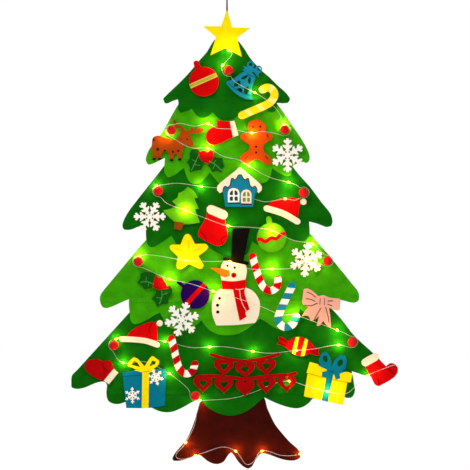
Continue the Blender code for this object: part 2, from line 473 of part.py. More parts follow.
def snowflake(centre, radius, turn_degrees):
    """Six arms with two pairs of branches each."""
    outline = []
    for arm in range(SNOWFLAKE_ARMS):
        direction = math.radians(turn_degrees) + 2 * math.pi * arm / SNOWFLAKE_ARMS
        along = Vector((math.cos(direction), math.sin(direction)))
        across = Vector((-along.y, along.x))
        side = [along * a * radius - across * b * radius for a, b in SNOWFLAKE_ARM_SHARES]
        other = [along * a * radius + across * b * radius for a, b in reversed(SNOWFLAKE_ARM_SHARES)]
        valley_angle = direction + math.pi / SNOWFLAKE_ARMS
        valley = Vector((math.cos(valley_angle), math.sin(valley_angle))) * radius * SNOWFLAKE_VALLEY_SHARE
        outline += [Vector(centre) + p for p in side + other + [valley]]
    return outline


def heart(centre, size, sides=HEART_SIDES):
    """A heart of this half width: a sine cubed to the side and a sum of cosines upward."""
    outline = []
    for i in range(sides):
        t = 2 * math.pi * (i + 0.5) / sides
        up = sum(share * math.cos(wave * t) for wave, share in enumerate(HEART_WAVE_SHARES, 1))
        outline.append((centre[0] + size * math.sin(t) ** 3, centre[1] - size * up))
    return outline


def counter_clockwise(outline):
    """The outline in metres, running counter-clockwise seen from the front."""
    loop = [place(p) for p in outline]
    area = sum(a[0] * b[1] - b[0] * a[1] for a, b in zip(loop, loop[1:] + loop[:1]))
    return loop if area > 0 else loop[::-1]


class Sheet:
    """A flat shape as triangles: outlines joined, holes cut out, and places for hook dots."""

    def __init__(self, solids, holes=(), creases=(), dots=()):
        loops = [("solid", counter_clockwise(s)) for s in solids]
        loops += [("hole", counter_clockwise(h)) for h in holes]
        for dot in dots:
            x, z = place(dot)
            ring = [(x + HOOK_DOT_RADIUS * math.cos(a), z + HOOK_DOT_RADIUS * math.sin(a))
                    for a in (2 * math.pi * k / SMALL_SIDES for k in range(SMALL_SIDES))]
            loops.append(("dot", ring))
        points, faces = [], []
        for _, loop in loops:
            faces.append(list(range(len(points), len(points) + len(loop))))
            points += [Vector(p) for p in loop]
        edges = []
        for start, end in creases:
            edges.append((len(points), len(points) + 1))
            points += [Vector(place(start)), Vector(place(end))]
        found = geometry.delaunay_2d_cdt(points, edges, faces, 0, MERGE_DISTANCE)
        self.points = [(p.x, p.y) for p in found[0]]
        self.triangles, self.in_dot = [], []
        for triangle, sources in zip(found[2], found[5]):
            kinds = {loops[s][0] for s in sources}
            if "solid" in kinds and "hole" not in kinds:
                self.triangles.append(tuple(triangle))
                self.in_dot.append("dot" in kinds)

    def array(self, only_dots=False):
        """The triangles as an array of corner points."""
        chosen = [t for t, dot in zip(self.triangles, self.in_dot) if dot or not only_dots]
        return np.array([[self.points[i] for i in t] for t in chosen]).reshape(-1, 3, 2)

    def solid(self, back_at, thickness, dot_back=None):
        """Vertices and faces of the sheet as a closed body; back_at gives the back's depth at z."""
        vertices, index = [], {}

        def corner(layer, i):
            if (layer, i) not in index:
                x, z = self.points[i]
                depth = {"front": back_at(z) + thickness, "back": back_at(z), "dot": dot_back}[layer]
                index[layer, i] = len(vertices)
                vertices.append((x, FELT_BACK_Y - depth, z))
            return index[layer, i]

        owner = {}
        for triangle, dot in zip(self.triangles, self.in_dot):
            for a, b in zip(triangle, triangle[1:] + triangle[:1]):
                owner[a, b] = dot
        faces = []
        for triangle, dot in zip(self.triangles, self.in_dot):
            rear = "dot" if dot else "back"
            faces.append([corner("front", i) for i in triangle])
            faces.append([corner(rear, i) for i in reversed(triangle)])
            for a, b in zip(triangle, triangle[1:] + triangle[:1]):
                if (b, a) not in owner:
                    faces.append([corner("front", b), corner("front", a), corner(rear, a), corner(rear, b)])
                elif dot and not owner[b, a]:
                    faces.append([corner("dot", a), corner("dot", b), corner("back", b), corner("back", a)])
        return vertices, faces


class Stack:
    """What has been laid down so far, as triangles with the depth of their front."""

    def __init__(self):
        self.triangles = np.zeros((0, 3, 2))
        self.fronts = np.zeros(0)

    def lay(self, triangles, fronts):
        """Adds triangles, each with its front depth."""
        self.triangles = np.concatenate([self.triangles, triangles])
        self.fronts = np.concatenate([self.fronts, np.broadcast_to(fronts, len(triangles))])

    def front_under(self, triangles):
        """The deepest front among the pieces that these triangles lie over, or zero."""
        low = triangles.min(axis=(0, 1)) - GAP
        high = triangles.max(axis=(0, 1)) + GAP
        near = np.all(self.triangles.max(axis=1) > low, axis=1)
        near &= np.all(self.triangles.min(axis=1) < high, axis=1)
        front = 0.0
        for i in np.flatnonzero(near):
            if self.fronts[i] > front and not np.all(kept_apart(triangles, self.triangles[i])):
                front = float(self.fronts[i])
        return front


def kept_apart(ours, other):
    """Says of each of our triangles whether an edge line keeps it clear of the other triangle."""
    apart = np.zeros(len(ours), bool)
    for edges, spec in ((np.roll(ours, -1, axis=1) - ours, "nkc"),
                        (np.roll(other, -1, axis=0) - other, "kc")):
        normals = np.stack([-edges[..., 1], edges[..., 0]], axis=-1)
        normals /= np.linalg.norm(normals, axis=-1, keepdims=True)
        mine = np.einsum(spec + ",nvc->nkv", normals, ours)
        theirs = np.einsum(spec + ",vc->" + spec[:-1] + "v", normals, other)
        clear = (mine.max(-1) + GAP <= theirs.min(-1)) | (theirs.max(-1) + GAP <= mine.min(-1))
        apart |= clear.any(axis=1)
    return apart


def material(name, colour, roughness=0.95, metallic=0.0):
    """A plain finish for one piece."""
    made = bpy.data.materials.new(name)
    made.use_nodes = True
    shader = made.node_tree.nodes["Principled BSDF"]
    shader.inputs["Base Color"].default_value = (*colour, 1.0)
    shader.inputs["Roughness"].default_value = roughness
    shader.inputs["Metallic"].default_value = metallic
    return made


def add_object(name, vertices, faces, finish, origin=(0.0, 0.0, 0.0)):
    """One named body, its object at the given origin."""
    mesh = bpy.data.meshes.new(name)
    mesh.from_pydata([Vector(v) - Vector(origin) for v in vertices], [], faces)
    if finish:
        mesh.materials.append(finish)
    body = bpy.data.objects.new(name, mesh)
    body.location = origin
    bpy.context.scene.collection.objects.link(body)
    return body


def tier(name, outline, colour, stack):
    """A felt tier, bent forward near its hem where the next tier's strip lies behind it."""
    bend_top, bend_foot = TIER_BENDS_PX[name]
    left = min(p[0] for p in outline) - CREASE_OVERRUN_PX
    right = max(p[0] for p in outline) + CREASE_OVERRUN_PX
    creases = [((left, y), (right, y)) for y in (bend_top, bend_foot)]
    sheet = Sheet([smooth(outline)], creases=creases)
    z_top, z_foot = (place((0, y))[1] for y in (bend_top, bend_foot))
    rise = TIER_FELT + GAP

    def back_at(z):
        return rise * min(max((z_top - z) / (z_top - z_foot), 0.0), 1.0)

    vertices, faces = sheet.solid(back_at, TIER_FELT)
    add_object(name, vertices, faces, material(name, colour))
    array = sheet.array()
    stack.lay(array, np.array([back_at(t[:, 1].min()) + TIER_FELT for t in array]))


def flat_piece(name, outline, colour, back, thickness, stack):
    """A flat felt piece that is sewn on."""
    sheet = Sheet([outline])
    vertices, faces = sheet.solid(lambda z: back, thickness)
    add_object(name, vertices, faces, material(name, colour))
    stack.lay(sheet.array(), back + thickness)


def ornament(name, shapes, colour, stack, holes=()):
    """A felt ornament with a dot of hook tape on its back, laid over whatever is there."""
    dot = HOOK_DOTS_PX[name]
    sheet = Sheet(shapes, holes, dots=[dot])
    dot_back = stack.front_under(sheet.array(only_dots=True)) + GAP
    back = max(stack.front_under(sheet.array()) + GAP, dot_back + HOOK_DOT_THICKNESS)
    vertices, faces = sheet.solid(lambda z: back, ORNAMENT_FELT, dot_back)
    x, z = place(dot)
    add_object(name, vertices, faces, material(name, colour), (x, FELT_BACK_Y - dot_back, z))
    stack.lay(sheet.array(), back + ORNAMENT_FELT)


def circle_triangles(centre, radius):
    """A disc as a fan of triangles, in metres."""
    rim = [(centre[0] + radius * math.cos(2 * math.pi * k / SMALL_SIDES),
            centre[1] + radius * math.sin(2 * math.pi * k / SMALL_SIDES)) for k in range(SMALL_SIDES)]
    return np.array([[centre, a, b] for a, b in zip(rim, rim[1:] + rim[:1])])


def lathe(name, profile, axis_point, axis, finish, sides):
    """A turned body: profile is radius and distance along the axis, from one end to the other."""
    mesh = bmesh.new()
    side = Vector((0.0, 0.0, 1.0)).cross(axis).normalized() if abs(axis.z) < 0.5 else Vector((1.0, 0.0, 0.0))
    other = axis.cross(side)
    rings = []
    for radius, along in profile:
        if radius == 0:
            rings.append([mesh.verts.new(axis * along)])
            continue
        angles = [2 * math.pi * k / sides for k in range(sides)]
        rings.append([mesh.verts.new(axis * along + (side * math.cos(a) + other * math.sin(a)) * radius)
                      for a in angles])
    for low, high in zip(rings, rings[1:]):
        for k in range(sides):
            following = (k + 1) % sides
            corners = [low[k % len(low)], low[following % len(low)],
                       high[following % len(high)], high[k % len(high)]]
            mesh.faces.new(list(dict.fromkeys(corners)))
    bmesh.ops.recalc_face_normals(mesh, faces=mesh.faces)
    data = bpy.data.meshes.new(name)
    mesh.to_mesh(data)
    mesh.free()
    if finish:
        data.materials.append(finish)
    data.shade_smooth()
    data.set_sharp_from_angle(angle=CORNER_TURN)
    body = bpy.data.objects.new(name, data)
    body.location = axis_point
    bpy.context.scene.collection.objects.link(body)
    return body


def pompom(name, centre, stack):
    """A wool ball on the short stem of thread that it is sewn on with."""
    stem_front = stack.front_under(circle_triangles(centre, POMPOM_STEM_RADIUS)) + GAP
    ball_front = stack.front_under(circle_triangles(centre, POMPOM_RADIUS)) + GAP
    neck_angle = math.asin(POMPOM_STEM_RADIUS / POMPOM_RADIUS)
    middle = ball_front - stem_front + POMPOM_RADIUS
    profile = [(0.0, 0.0), (POMPOM_STEM_RADIUS, 0.0)]
    for ring in range(BALL_RINGS):
        angle = neck_angle + (math.pi - neck_angle) * ring / BALL_RINGS
        profile.append((POMPOM_RADIUS * math.sin(angle), middle - POMPOM_RADIUS * math.cos(angle)))
    profile.append((0.0, middle + POMPOM_RADIUS))
    foot = Vector((centre[0], FELT_BACK_Y - stem_front, centre[1]))
    lathe(name, profile, foot, Vector((0.0, -1.0, 0.0)), material(name, RED), BALL_SIDES)


def wire_points(route, pompoms):
    """The route in metres as x, z and side, with the turns round pompoms worked out."""
    ring = POMPOM_RADIUS + WIRE_DIAMETER / 2 + GAP * 2
    points = []
    for step in route:
        if step[0] != "round":
            points.append((*place(step), step[2]))
            continue
        _, number, start, end = step
        for k in range(WIRE_TURN_POINTS):
            angle = math.radians(start + (end - start) * k / (WIRE_TURN_POINTS - 1))
            x, z = pompoms[number]
            points.append((x + ring * math.cos(angle), z + ring * math.sin(angle), FRONT))
    return points


def wire_tube(name, points, stack, socket=None):
    """One stretch of light wire, over everything laid down so far, and into a socket at its end."""
    if socket is not None:
        points = points + [(socket.x - WIRE_APPROACH, socket.z, BACK), (socket.x, socket.z, BACK)]
    flat = []
    for i in range(len(points) - 1):
        before, start = points[max(i - 1, 0)][:2], points[i][:2]
        end, after = points[i + 1][:2], points[min(i + 2, len(points) - 1)][:2]
        steps = max(1, round(math.dist(start, end) / WIRE_STEP))
        flat += [(*curve_between(before, start, end, after, k / steps), points[i][2]) for k in range(steps)]
    flat.append(points[-1])
    half = WIRE_DIAMETER / 2
    levels = [-GAP - half if p[2] == BACK else GAP + half for p in flat]
    strips = []
    for i in range(len(flat) - 1):
        a, b = Vector(flat[i][:2]), Vector(flat[i + 1][:2])
        if flat[i][2] == BACK or flat[i + 1][2] == BACK:
            continue
        side = Vector((a.y - b.y, b.x - a.x)).normalized() * half
        strip = np.array([[a + side, a - side, b - side], [a + side, b - side, b + side]])
        level = stack.front_under(strip) + GAP + half
        strips.append((strip, i))
        levels[i] = max(levels[i], level)
        levels[i + 1] = max(levels[i + 1], level)
    if socket is not None:
        levels[-2:] = [FELT_BACK_Y - socket.y] * 2
    curve = bpy.data.curves.new(name, "CURVE")
    curve.dimensions = "3D"
    curve.bevel_depth = half
    curve.bevel_resolution = 2
    curve.use_fill_caps = True
    spline = curve.splines.new("POLY")
    spline.points.add(len(flat) - 1)
    for point, (x, z, _), level in zip(spline.points, flat, levels):
        point.co = (x, FELT_BACK_Y - level, z, 1.0)
    curve.materials.append(material(name, SILVER, 0.4))
    body = bpy.data.objects.new(name, curve)
    bpy.context.scene.collection.objects.link(body)
    for strip, i in strips:
        stack.lay(strip, max(levels[i], levels[i + 1]) + half)


def box(name, low, high, finish=None):
    """A plain block between two corners, its origin in the middle."""
    vertices = [(x, y, z) for x in (low[0], high[0]) for y in (low[1], high[1]) for z in (low[2], high[2])]
    faces = [(0, 1, 3, 2), (4, 6, 7, 5), (0, 4, 5, 1), (2, 3, 7, 6), (0, 2, 6, 4), (1, 5, 7, 3)]
    middle = [(a + b) / 2 for a, b in zip(low, high)]
    return add_object(name, vertices, faces, finish, middle)


def cut(body, cutter, operation="DIFFERENCE"):
    """Cuts a hidden shape from a body, or joins it on."""
    cutter.hide_render = True
    cutter.display_type = "WIRE"
    modifier = body.modifiers.new(cutter.name, "BOOLEAN")
    modifier.object = cutter
    modifier.operation = operation
    modifier.solver = "EXACT"


def battery_box():
    """The battery box behind the trunk; gives back the point where the wire enters its gland."""
    x, z = place(BATTERY_BOX_PX)
    cell_pitch = CELL_DIAMETER + CELL_CLEARANCE
    room_x = CELL_LENGTH + CELL_NUB_LENGTH + 2 * (CONTACT_THICKNESS + 2 * CELL_CLEARANCE)
    room_z = 3 * cell_pitch + CELL_CLEARANCE
    room_y = CELL_DIAMETER + 2 * CELL_CLEARANCE
    front = FELT_BACK_Y + GAP + TAPE_THICKNESS + GAP
    floor = front + CASE_WALL
    rear = floor + room_y
    left = x - (room_x + SWITCH_BAY + 3 * CASE_WALL) / 2
    room_left = left + 2 * CASE_WALL + SWITCH_BAY
    right = room_left + room_x + CASE_WALL
    low_z, high_z = z - room_z / 2 - CASE_WALL, z + room_z / 2 + CASE_WALL

    case = box("battery_case", (left, front, low_z), (right, rear, high_z),
               material("battery_case", PLASTIC, 0.4))
    cut(case, box("cell_room", (room_left, floor, low_z + CASE_WALL),
                  (right - CASE_WALL, rear + CUT_OVERRUN, high_z - CASE_WALL)))
    cut(case, box("switch_room", (left + CASE_WALL, floor, low_z + CASE_WALL),
                  (left + CASE_WALL + SWITCH_BAY, rear + CUT_OVERRUN, high_z - CASE_WALL)))
    switch_x = left + CASE_WALL + SWITCH_BAY / 2
    switch_y = floor + (room_y - COVER_SKIRT) / 2
    slot_x = (SWITCH_LENGTH + SWITCH_TRAVEL) / 2 + GAP
    slot_y = SWITCH_WIDTH / 2 + GAP
    cut(case, box("switch_slot", (switch_x - slot_x, switch_y - slot_y, high_z - CASE_WALL - CUT_OVERRUN),
                  (switch_x + slot_x, switch_y + slot_y, high_z + CUT_OVERRUN)))
    socket = Vector((left - GLAND_LENGTH - GAP, front + GLAND_RADIUS + GAP, z))
    cut(case, lathe("wire_gland", [(0.0, -CASE_WALL / 2), (GLAND_RADIUS, -CASE_WALL / 2),
                                   (GLAND_RADIUS, GLAND_LENGTH), (0.0, GLAND_LENGTH)],
                    Vector((left, socket.y, z)), Vector((-1.0, 0.0, 0.0)), None, SMALL_SIDES), "UNION")

    start_x = switch_x - SWITCH_TRAVEL / 2
    inside_top = high_z - CASE_WALL - GAP
    switch = box("power_switch", (start_x - SWITCH_LENGTH / 2, switch_y - SWITCH_WIDTH / 2,
                                  inside_top - SWITCH_FLANGE / 2),
                 (start_x + SWITCH_LENGTH / 2, switch_y + SWITCH_WIDTH / 2, high_z + SWITCH_RISE),
                 material("power_switch", BLACK, 0.5))
    flange_x = (SWITCH_LENGTH + SWITCH_TRAVEL) / 2 + GAP
    flange_y = slot_y + SWITCH_OVERLAP
    cut(switch, box("switch_flange", (start_x - flange_x, switch_y - flange_y, inside_top - SWITCH_FLANGE),
                    (start_x + flange_x, switch_y + flange_y, inside_top)), "UNION")

    cover_low, cover_high = low_z - GAP - COVER_THICKNESS, high_z + GAP + COVER_THICKNESS
    cover_back = rear + GAP + COVER_THICKNESS
    cover = box("battery_cover", (left, rear + GAP, cover_low), (right, cover_back, cover_high),
                material("battery_cover", PLASTIC, 0.4))
    for label, skirt_z in (("cover_skirt_low", cover_low),
                           ("cover_skirt_high", cover_high - COVER_THICKNESS)):
        cut(cover, box(label, (left, rear - COVER_SKIRT, skirt_z),
                       (right, cover_back - COVER_THICKNESS / 2, skirt_z + COVER_THICKNESS)), "UNION")

    middle_y = floor + room_y / 2
    contact_low, contact_high = low_z + CASE_WALL + CELL_CLEARANCE, high_z - CASE_WALL - CELL_CLEARANCE
    for label, contact_x in (("contact_left", room_left + CELL_CLEARANCE),
                             ("contact_right", right - CASE_WALL - CELL_CLEARANCE - CONTACT_THICKNESS)):
        box(label, (contact_x, middle_y - CONTACT_WIDTH / 2, contact_low),
            (contact_x + CONTACT_THICKNESS, middle_y + CONTACT_WIDTH / 2, contact_high),
            material(label, METAL, 0.3, 1.0))
    reach = (CELL_LENGTH + CELL_NUB_LENGTH) / 2
    profile = [(0.0, -reach), (CELL_DIAMETER / 2, -reach), (CELL_DIAMETER / 2, reach - CELL_NUB_LENGTH),
               (CELL_NUB_DIAMETER / 2, reach - CELL_NUB_LENGTH), (CELL_NUB_DIAMETER / 2, reach),
               (0.0, reach)]
    for number in range(3):
        name = "cell_" + str(number + 1)
        cell_z = contact_low + CELL_DIAMETER / 2 + number * cell_pitch
        lathe(name, profile, Vector((room_left + room_x / 2, middle_y, cell_z)),
              Vector(((-1.0) ** number, 0.0, 0.0)), material(name, CELL_GREEN, 0.35, 0.4), CELL_SIDES)
    box("case_tape", (left + TAPE_INSET, FELT_BACK_Y + GAP, low_z + TAPE_INSET),
        (right - TAPE_INSET, FELT_BACK_Y + GAP + TAPE_THICKNESS, high_z - TAPE_INSET),
        material("case_tape", BLACK))
    return socket


def hanging_cord():
    """The loop that the tree hangs by: both ends are sewn to the back of the top tier."""
    end_z = place((0, CORD_END_PX))[1]
    radius = CORD_DIAMETER / 2
    half_loop = [(CORD_NECK_HALF_WIDTH, end_z), (CORD_NECK_HALF_WIDTH, end_z / 2),
                 (CORD_NECK_HALF_WIDTH, -CORD_LOOP_HEIGHT), (CORD_LOOP_HALF_WIDTH, -CORD_LOOP_HALF_WIDTH)]
    route = [(-x, z) for x, z in half_loop] + [(0.0, radius)] + half_loop[::-1]
    curve = bpy.data.curves.new("hanging_cord", "CURVE")
    curve.dimensions = "3D"
    curve.bevel_depth = radius
    curve.bevel_resolution = 2
    curve.use_fill_caps = True
    points = smooth_route(route, 3)
    spline = curve.splines.new("POLY")
    spline.points.add(len(points) - 1)
    for point, (x, z) in zip(spline.points, points):
        point.co = (x, 0.0, z, 1.0)
    curve.materials.append(material("hanging_cord", DARK_RED))
    body = bpy.data.objects.new("hanging_cord", curve)
    bpy.context.scene.collection.objects.link(body)


def ornaments():
    """Every ornament's shapes and colour, and its holes if it has any."""
    antlers = [stroke(points, width, 2, 3) for points, width in REINDEER_STROKES_PX]
    hearts = [heart(centre, size) for centre, size in (*OPEN_HEARTS_PX, MIDDLE_HEART_PX)]
    ribbons = [stroke(points, GARLAND_RIBBON_WIDTH_PX, 2, 2) for points in GARLAND_RIBBONS_PX]
    heart_holes = [heart(centre, size * HEART_HOLE_SHARE, SMALL_SIDES) for centre, size in OPEN_HEARTS_PX]
    rings = [disc(*ring, SMALL_SIDES) for ring in BELL_RINGS_PX]
    ring_holes = [disc(*hole, SMALL_SIDES) for hole in BELL_RING_HOLES_PX]
    candy_centre, candy_radii, candy_turn = CANDY_BODY_PX
    candy = disc(candy_centre, candy_radii[0], DISC_SIDES, candy_radii[1] / candy_radii[0],
                 math.radians(candy_turn))
    return {
        "bell": ([smooth(BELL_BODY_PX), BELL_TAIL_PX, *rings], BLUE, [*BELL_CUTS_PX, *ring_holes]),
        "mitten_top": ([smooth(MITTEN_TOP_PX)], RED),
        "gingerbread": ([smooth(GINGERBREAD_PX)], GINGER),
        "reindeer": ([REINDEER_PX, *antlers], GINGER),
        "holly_top": ([HOLLY_TOP_LEFT_PX, HOLLY_TOP_RIGHT_PX, smooth(HOLLY_TOP_BERRIES_PX)], DARK_GREEN),
        "fir_small": ([FIR_SMALL_PX], LIGHT_GREEN),
        "stocking_mid": ([smooth(STOCKING_MID_PX), stroke(*STOCKING_MID_CUFF_PX)], RED),
        "hat_right": ([smooth(HAT_RIGHT_BODY_PX), stroke(*HAT_RIGHT_BRIM_PX),
                       disc(*HAT_RIGHT_POM_PX, SMALL_SIDES)], RED),
        "ball_green": ([disc(*BALL_GREEN_PX), stroke(*BALL_GREEN_NECK_PX)], LIGHT_GREEN),
        "star_yellow": ([smooth(STAR_YELLOW_PX)], YELLOW),
        "snowman": ([SNOWMAN_HAT_PX, stroke(*SNOWMAN_BRIM_PX), smooth(SNOWMAN_HEAD_PX), SNOWMAN_NOSE_PX,
                     SNOWMAN_SCARF_PX, smooth(SNOWMAN_BODY_PX)], CREAM),
        "cane_red_mid": ([stroke(*CANE_RED_MID_PX)], RED),
        "snowflake_3": ([snowflake(*SNOWFLAKE_3_PX)], CREAM),
        "holly_left": ([HOLLY_LEFT_UPPER_PX, HOLLY_LEFT_LOWER_PX, smooth(HOLLY_LEFT_BERRY_PX)], DARK_GREEN),
        "ball_purple": ([disc(*BALL_PURPLE_PX), stroke(*BALL_PURPLE_NECK_PX)], PURPLE),
        "cane_blue": ([stroke(*CANE_BLUE_PX)], BLUE),
        "bow_pink": ([smooth(BOW_PINK_PX)], PINK),
        "candy": ([candy, CANDY_WRAP_LEFT_PX, CANDY_WRAP_RIGHT_PX], RED),
        "gift_yellow": ([GIFT_YELLOW_PX, *(smooth(p) for p in GIFT_YELLOW_BOW_PX)], YELLOW),
        "stocking_right": ([smooth(STOCKING_RIGHT_PX), stroke(*STOCKING_RIGHT_CUFF_PX)], RED),
        "ball_red": ([disc(*BALL_RED_PX), stroke(*BALL_RED_NECK_PX),
                      disc(*BALL_RED_KNOB_PX, SMALL_SIDES)], RED),
        "cane_yellow": ([stroke(*CANE_YELLOW_PX)], YELLOW),
        "snowflake_1": ([snowflake(*SNOWFLAKE_1_PX)], CREAM),
        "snowflake_2": ([snowflake(*SNOWFLAKE_2_PX)], CREAM),
        "snowflake_4": ([snowflake(*SNOWFLAKE_4_PX)], CREAM),
        "house": ([HOUSE_PX], BLUE),
        "hat_left": ([smooth(HAT_LEFT_BODY_PX), stroke(*HAT_LEFT_BRIM_PX),
                      disc(*HAT_LEFT_POM_PX, SMALL_SIDES)], RED),
        "cane_red_left": ([stroke(*CANE_RED_LEFT_PX)], RED),
        "mitten_left": ([smooth(MITTEN_LEFT_PX)], RED),
        "gift_blue": ([GIFT_BLUE_PX, smooth(GIFT_BLUE_BOW_PX)], BLUE),
        "garland": (hearts + ribbons, DARK_RED, heart_holes),
    }


def build():
    """Clears the scene and makes every piece, from the back to the front."""
    for old in list(bpy.data.objects):
        bpy.data.objects.remove(old, do_unlink=True)
    stack = Stack()
    for name, outline, colour in (("tier_1", TIER_1_PX, DARK_GREEN), ("tier_2", TIER_2_PX, LIGHT_GREEN),
                                  ("tier_3", TIER_3_PX, DARK_GREEN), ("tier_4", TIER_4_PX, LIGHT_GREEN),
                                  ("tier_5", TIER_5_PX, DARK_GREEN)):
        tier(name, outline, colour, stack)
    flat_piece("trunk", smooth(TRUNK_PX), BROWN, 0.0, TIER_FELT, stack)
    flat_piece("top_star", TOP_STAR_PX, YELLOW, TIER_FELT + GAP, ORNAMENT_FELT, stack)
    hanging_cord()

    made = ornaments()
    for name in made:
        if name not in LOOSE:
            shapes, colour, *holes = made[name]
            ornament(name, shapes, colour, stack, *holes)
    pompoms = [place(p) for p in POMPOMS_PX]
    for number, centre in enumerate(pompoms):
        pompom("pompom_" + str(number + 1), centre, stack)

    socket = battery_box()
    wire_tube("light_wire_upper", wire_points(WIRE_UPPER_PX, pompoms), stack)
    wire_tube("light_wire_lower", wire_points(WIRE_LOWER_PX, pompoms), stack, socket)
    for name in LOOSE:
        shapes, colour, *holes = made[name]
        ornament(name, shapes, colour, stack, *holes)


build()
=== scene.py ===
"""Felt christmas tree wall hanging: the finished look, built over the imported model.

Metres, +Z up, and the tree faces -Y. Names that end in _PX hold places in the photograph,
x to the right and y down, and place() turns them into x and z in metres.
"""
from __future__ import annotations

import json
import logging
import math
from dataclasses import dataclass
from enum import Enum
from typing import Iterable, Sequence

import bmesh
import bpy
import numpy as np
from mathutils import Euler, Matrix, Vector, geometry
from mathutils.bvhtree import BVHTree

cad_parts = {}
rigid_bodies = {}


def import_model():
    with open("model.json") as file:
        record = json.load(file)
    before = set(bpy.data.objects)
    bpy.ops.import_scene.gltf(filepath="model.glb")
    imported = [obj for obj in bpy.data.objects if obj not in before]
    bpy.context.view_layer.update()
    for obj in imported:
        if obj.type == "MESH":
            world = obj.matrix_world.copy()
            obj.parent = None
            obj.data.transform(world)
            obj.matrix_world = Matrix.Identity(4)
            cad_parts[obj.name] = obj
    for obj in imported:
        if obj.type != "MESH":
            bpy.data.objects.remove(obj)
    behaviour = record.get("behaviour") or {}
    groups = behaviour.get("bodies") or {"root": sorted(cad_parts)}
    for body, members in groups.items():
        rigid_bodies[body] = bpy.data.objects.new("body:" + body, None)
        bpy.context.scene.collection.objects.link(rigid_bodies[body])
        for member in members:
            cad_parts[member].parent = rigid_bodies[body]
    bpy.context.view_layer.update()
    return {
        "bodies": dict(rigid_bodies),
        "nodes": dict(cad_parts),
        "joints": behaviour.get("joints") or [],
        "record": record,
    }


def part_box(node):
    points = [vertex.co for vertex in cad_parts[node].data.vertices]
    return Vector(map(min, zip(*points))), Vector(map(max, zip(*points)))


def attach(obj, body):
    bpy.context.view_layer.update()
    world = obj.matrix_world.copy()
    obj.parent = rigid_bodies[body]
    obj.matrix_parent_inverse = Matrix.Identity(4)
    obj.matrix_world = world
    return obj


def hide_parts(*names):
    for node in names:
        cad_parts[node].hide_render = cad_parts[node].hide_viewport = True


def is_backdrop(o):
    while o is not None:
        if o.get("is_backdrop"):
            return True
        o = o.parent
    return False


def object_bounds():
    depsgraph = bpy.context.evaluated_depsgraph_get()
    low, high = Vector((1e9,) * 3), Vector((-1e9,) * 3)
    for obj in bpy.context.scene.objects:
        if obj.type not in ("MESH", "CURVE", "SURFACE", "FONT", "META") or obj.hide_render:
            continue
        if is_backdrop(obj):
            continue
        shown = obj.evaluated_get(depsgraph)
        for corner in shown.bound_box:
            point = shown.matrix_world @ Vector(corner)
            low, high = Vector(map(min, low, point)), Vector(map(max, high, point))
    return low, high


log = logging.getLogger("felt_tree")

Point = tuple[float, float]
Loop = list[Point]
Colour = tuple[int, int, int]
Shade = tuple[float, float, float, float]
Inputs = dict[str | int, object]

# The photograph's pixels in metres, and the pixel where the hanging loop meets its hook
PIXEL_X = 0.717 / 326.0
PIXEL_Z = 1.009 / 458.5
HOOK_POINT_PX = (227.0, -12.0)
TREE_BODY = "tree"

# Felt and wire sizes that several pieces share
FELT_BACK_Y = -0.0014
ORNAMENT_FELT = 0.003
TOP_LAYER = 0.0009
DRAWN_LAYER = 0.00025
LAYER_OVERLAP = 0.0001
THROUGH_SINK = 0.0003
RIM = 0.0005
HOOK_DOT_RADIUS = 0.007
HOOK_DOT_SINK = 0.0002
WIRE_DIAMETER = 0.0012

# How far off in front of and behind the tree the rays start that look for its surface
FAR = 1.0

# Outlines: which bends and pairs of sides stay corners, how much of a side a nipped corner may
# take, and what is too short, too small or too close together to be kept apart
CORNER_TURN = math.radians(42)
LONG_TO_SHORT = 12
NIP_SHARE = 0.25
SHORTEST_SIDE = 0.00002
SMALLEST_AREA = 2e-7
WELD = 0.00001

# Rims: the shares of a plate's rim that are tried until no sides cross, its most as a share of
# the thickness, where the middle of its round lies, and the back rim as a share of the front's
RIM_SHARES = (1.0, 0.6, 0.35, 0.2, 0.05)
RIM_LIMIT = 0.4
RIM_MIDDLE = 0.3
BACK_RIM = 0.5


def place(px: float, py: float) -> Point:
    """Turns a photograph pixel into x and z in metres."""
    return ((px - HOOK_POINT_PX[0]) * PIXEL_X, (HOOK_POINT_PX[1] - py) * PIXEL_Z)


def linear(colour: Colour) -> tuple[float, float, float, float]:
    """Turns a colour as seen on a screen, 0 to 255, into Blender's linear one."""
    channels = [c / 255 for c in colour]
    return (*(c / 12.92 if c <= 0.04045 else ((c + 0.055) / 1.055) ** 2.4 for c in channels), 1.0)


class Nodes:
    """A node tree under construction, with short ways to add and join its nodes."""

    def __init__(self, tree: bpy.types.NodeTree) -> None:
        """Keeps the tree to build in."""
        self.tree = tree

    def feed(self, node: bpy.types.Node, values: Inputs) -> None:
        """Sets or links a node's inputs.

        Args:
            node: the node.
            values: what its inputs are set to, or the sockets that they are linked from.
        """
        for name, value in values.items():
            if isinstance(value, bpy.types.NodeSocket):
                self.tree.links.new(value, node.inputs[name])
            else:
                node.inputs[name].default_value = value

    def add(self, kind: str, values: Inputs | None = None, **settings: object) -> bpy.types.Node:
        """Adds a node.

        Args:
            kind: the node's type name.
            values: its inputs, as for feed.
            settings: the node's own properties.

        Returns:
            The new node.
        """
        node = self.tree.nodes.new(kind)
        for name, value in settings.items():
            setattr(node, name, value)
        self.feed(node, values or {})
        return node


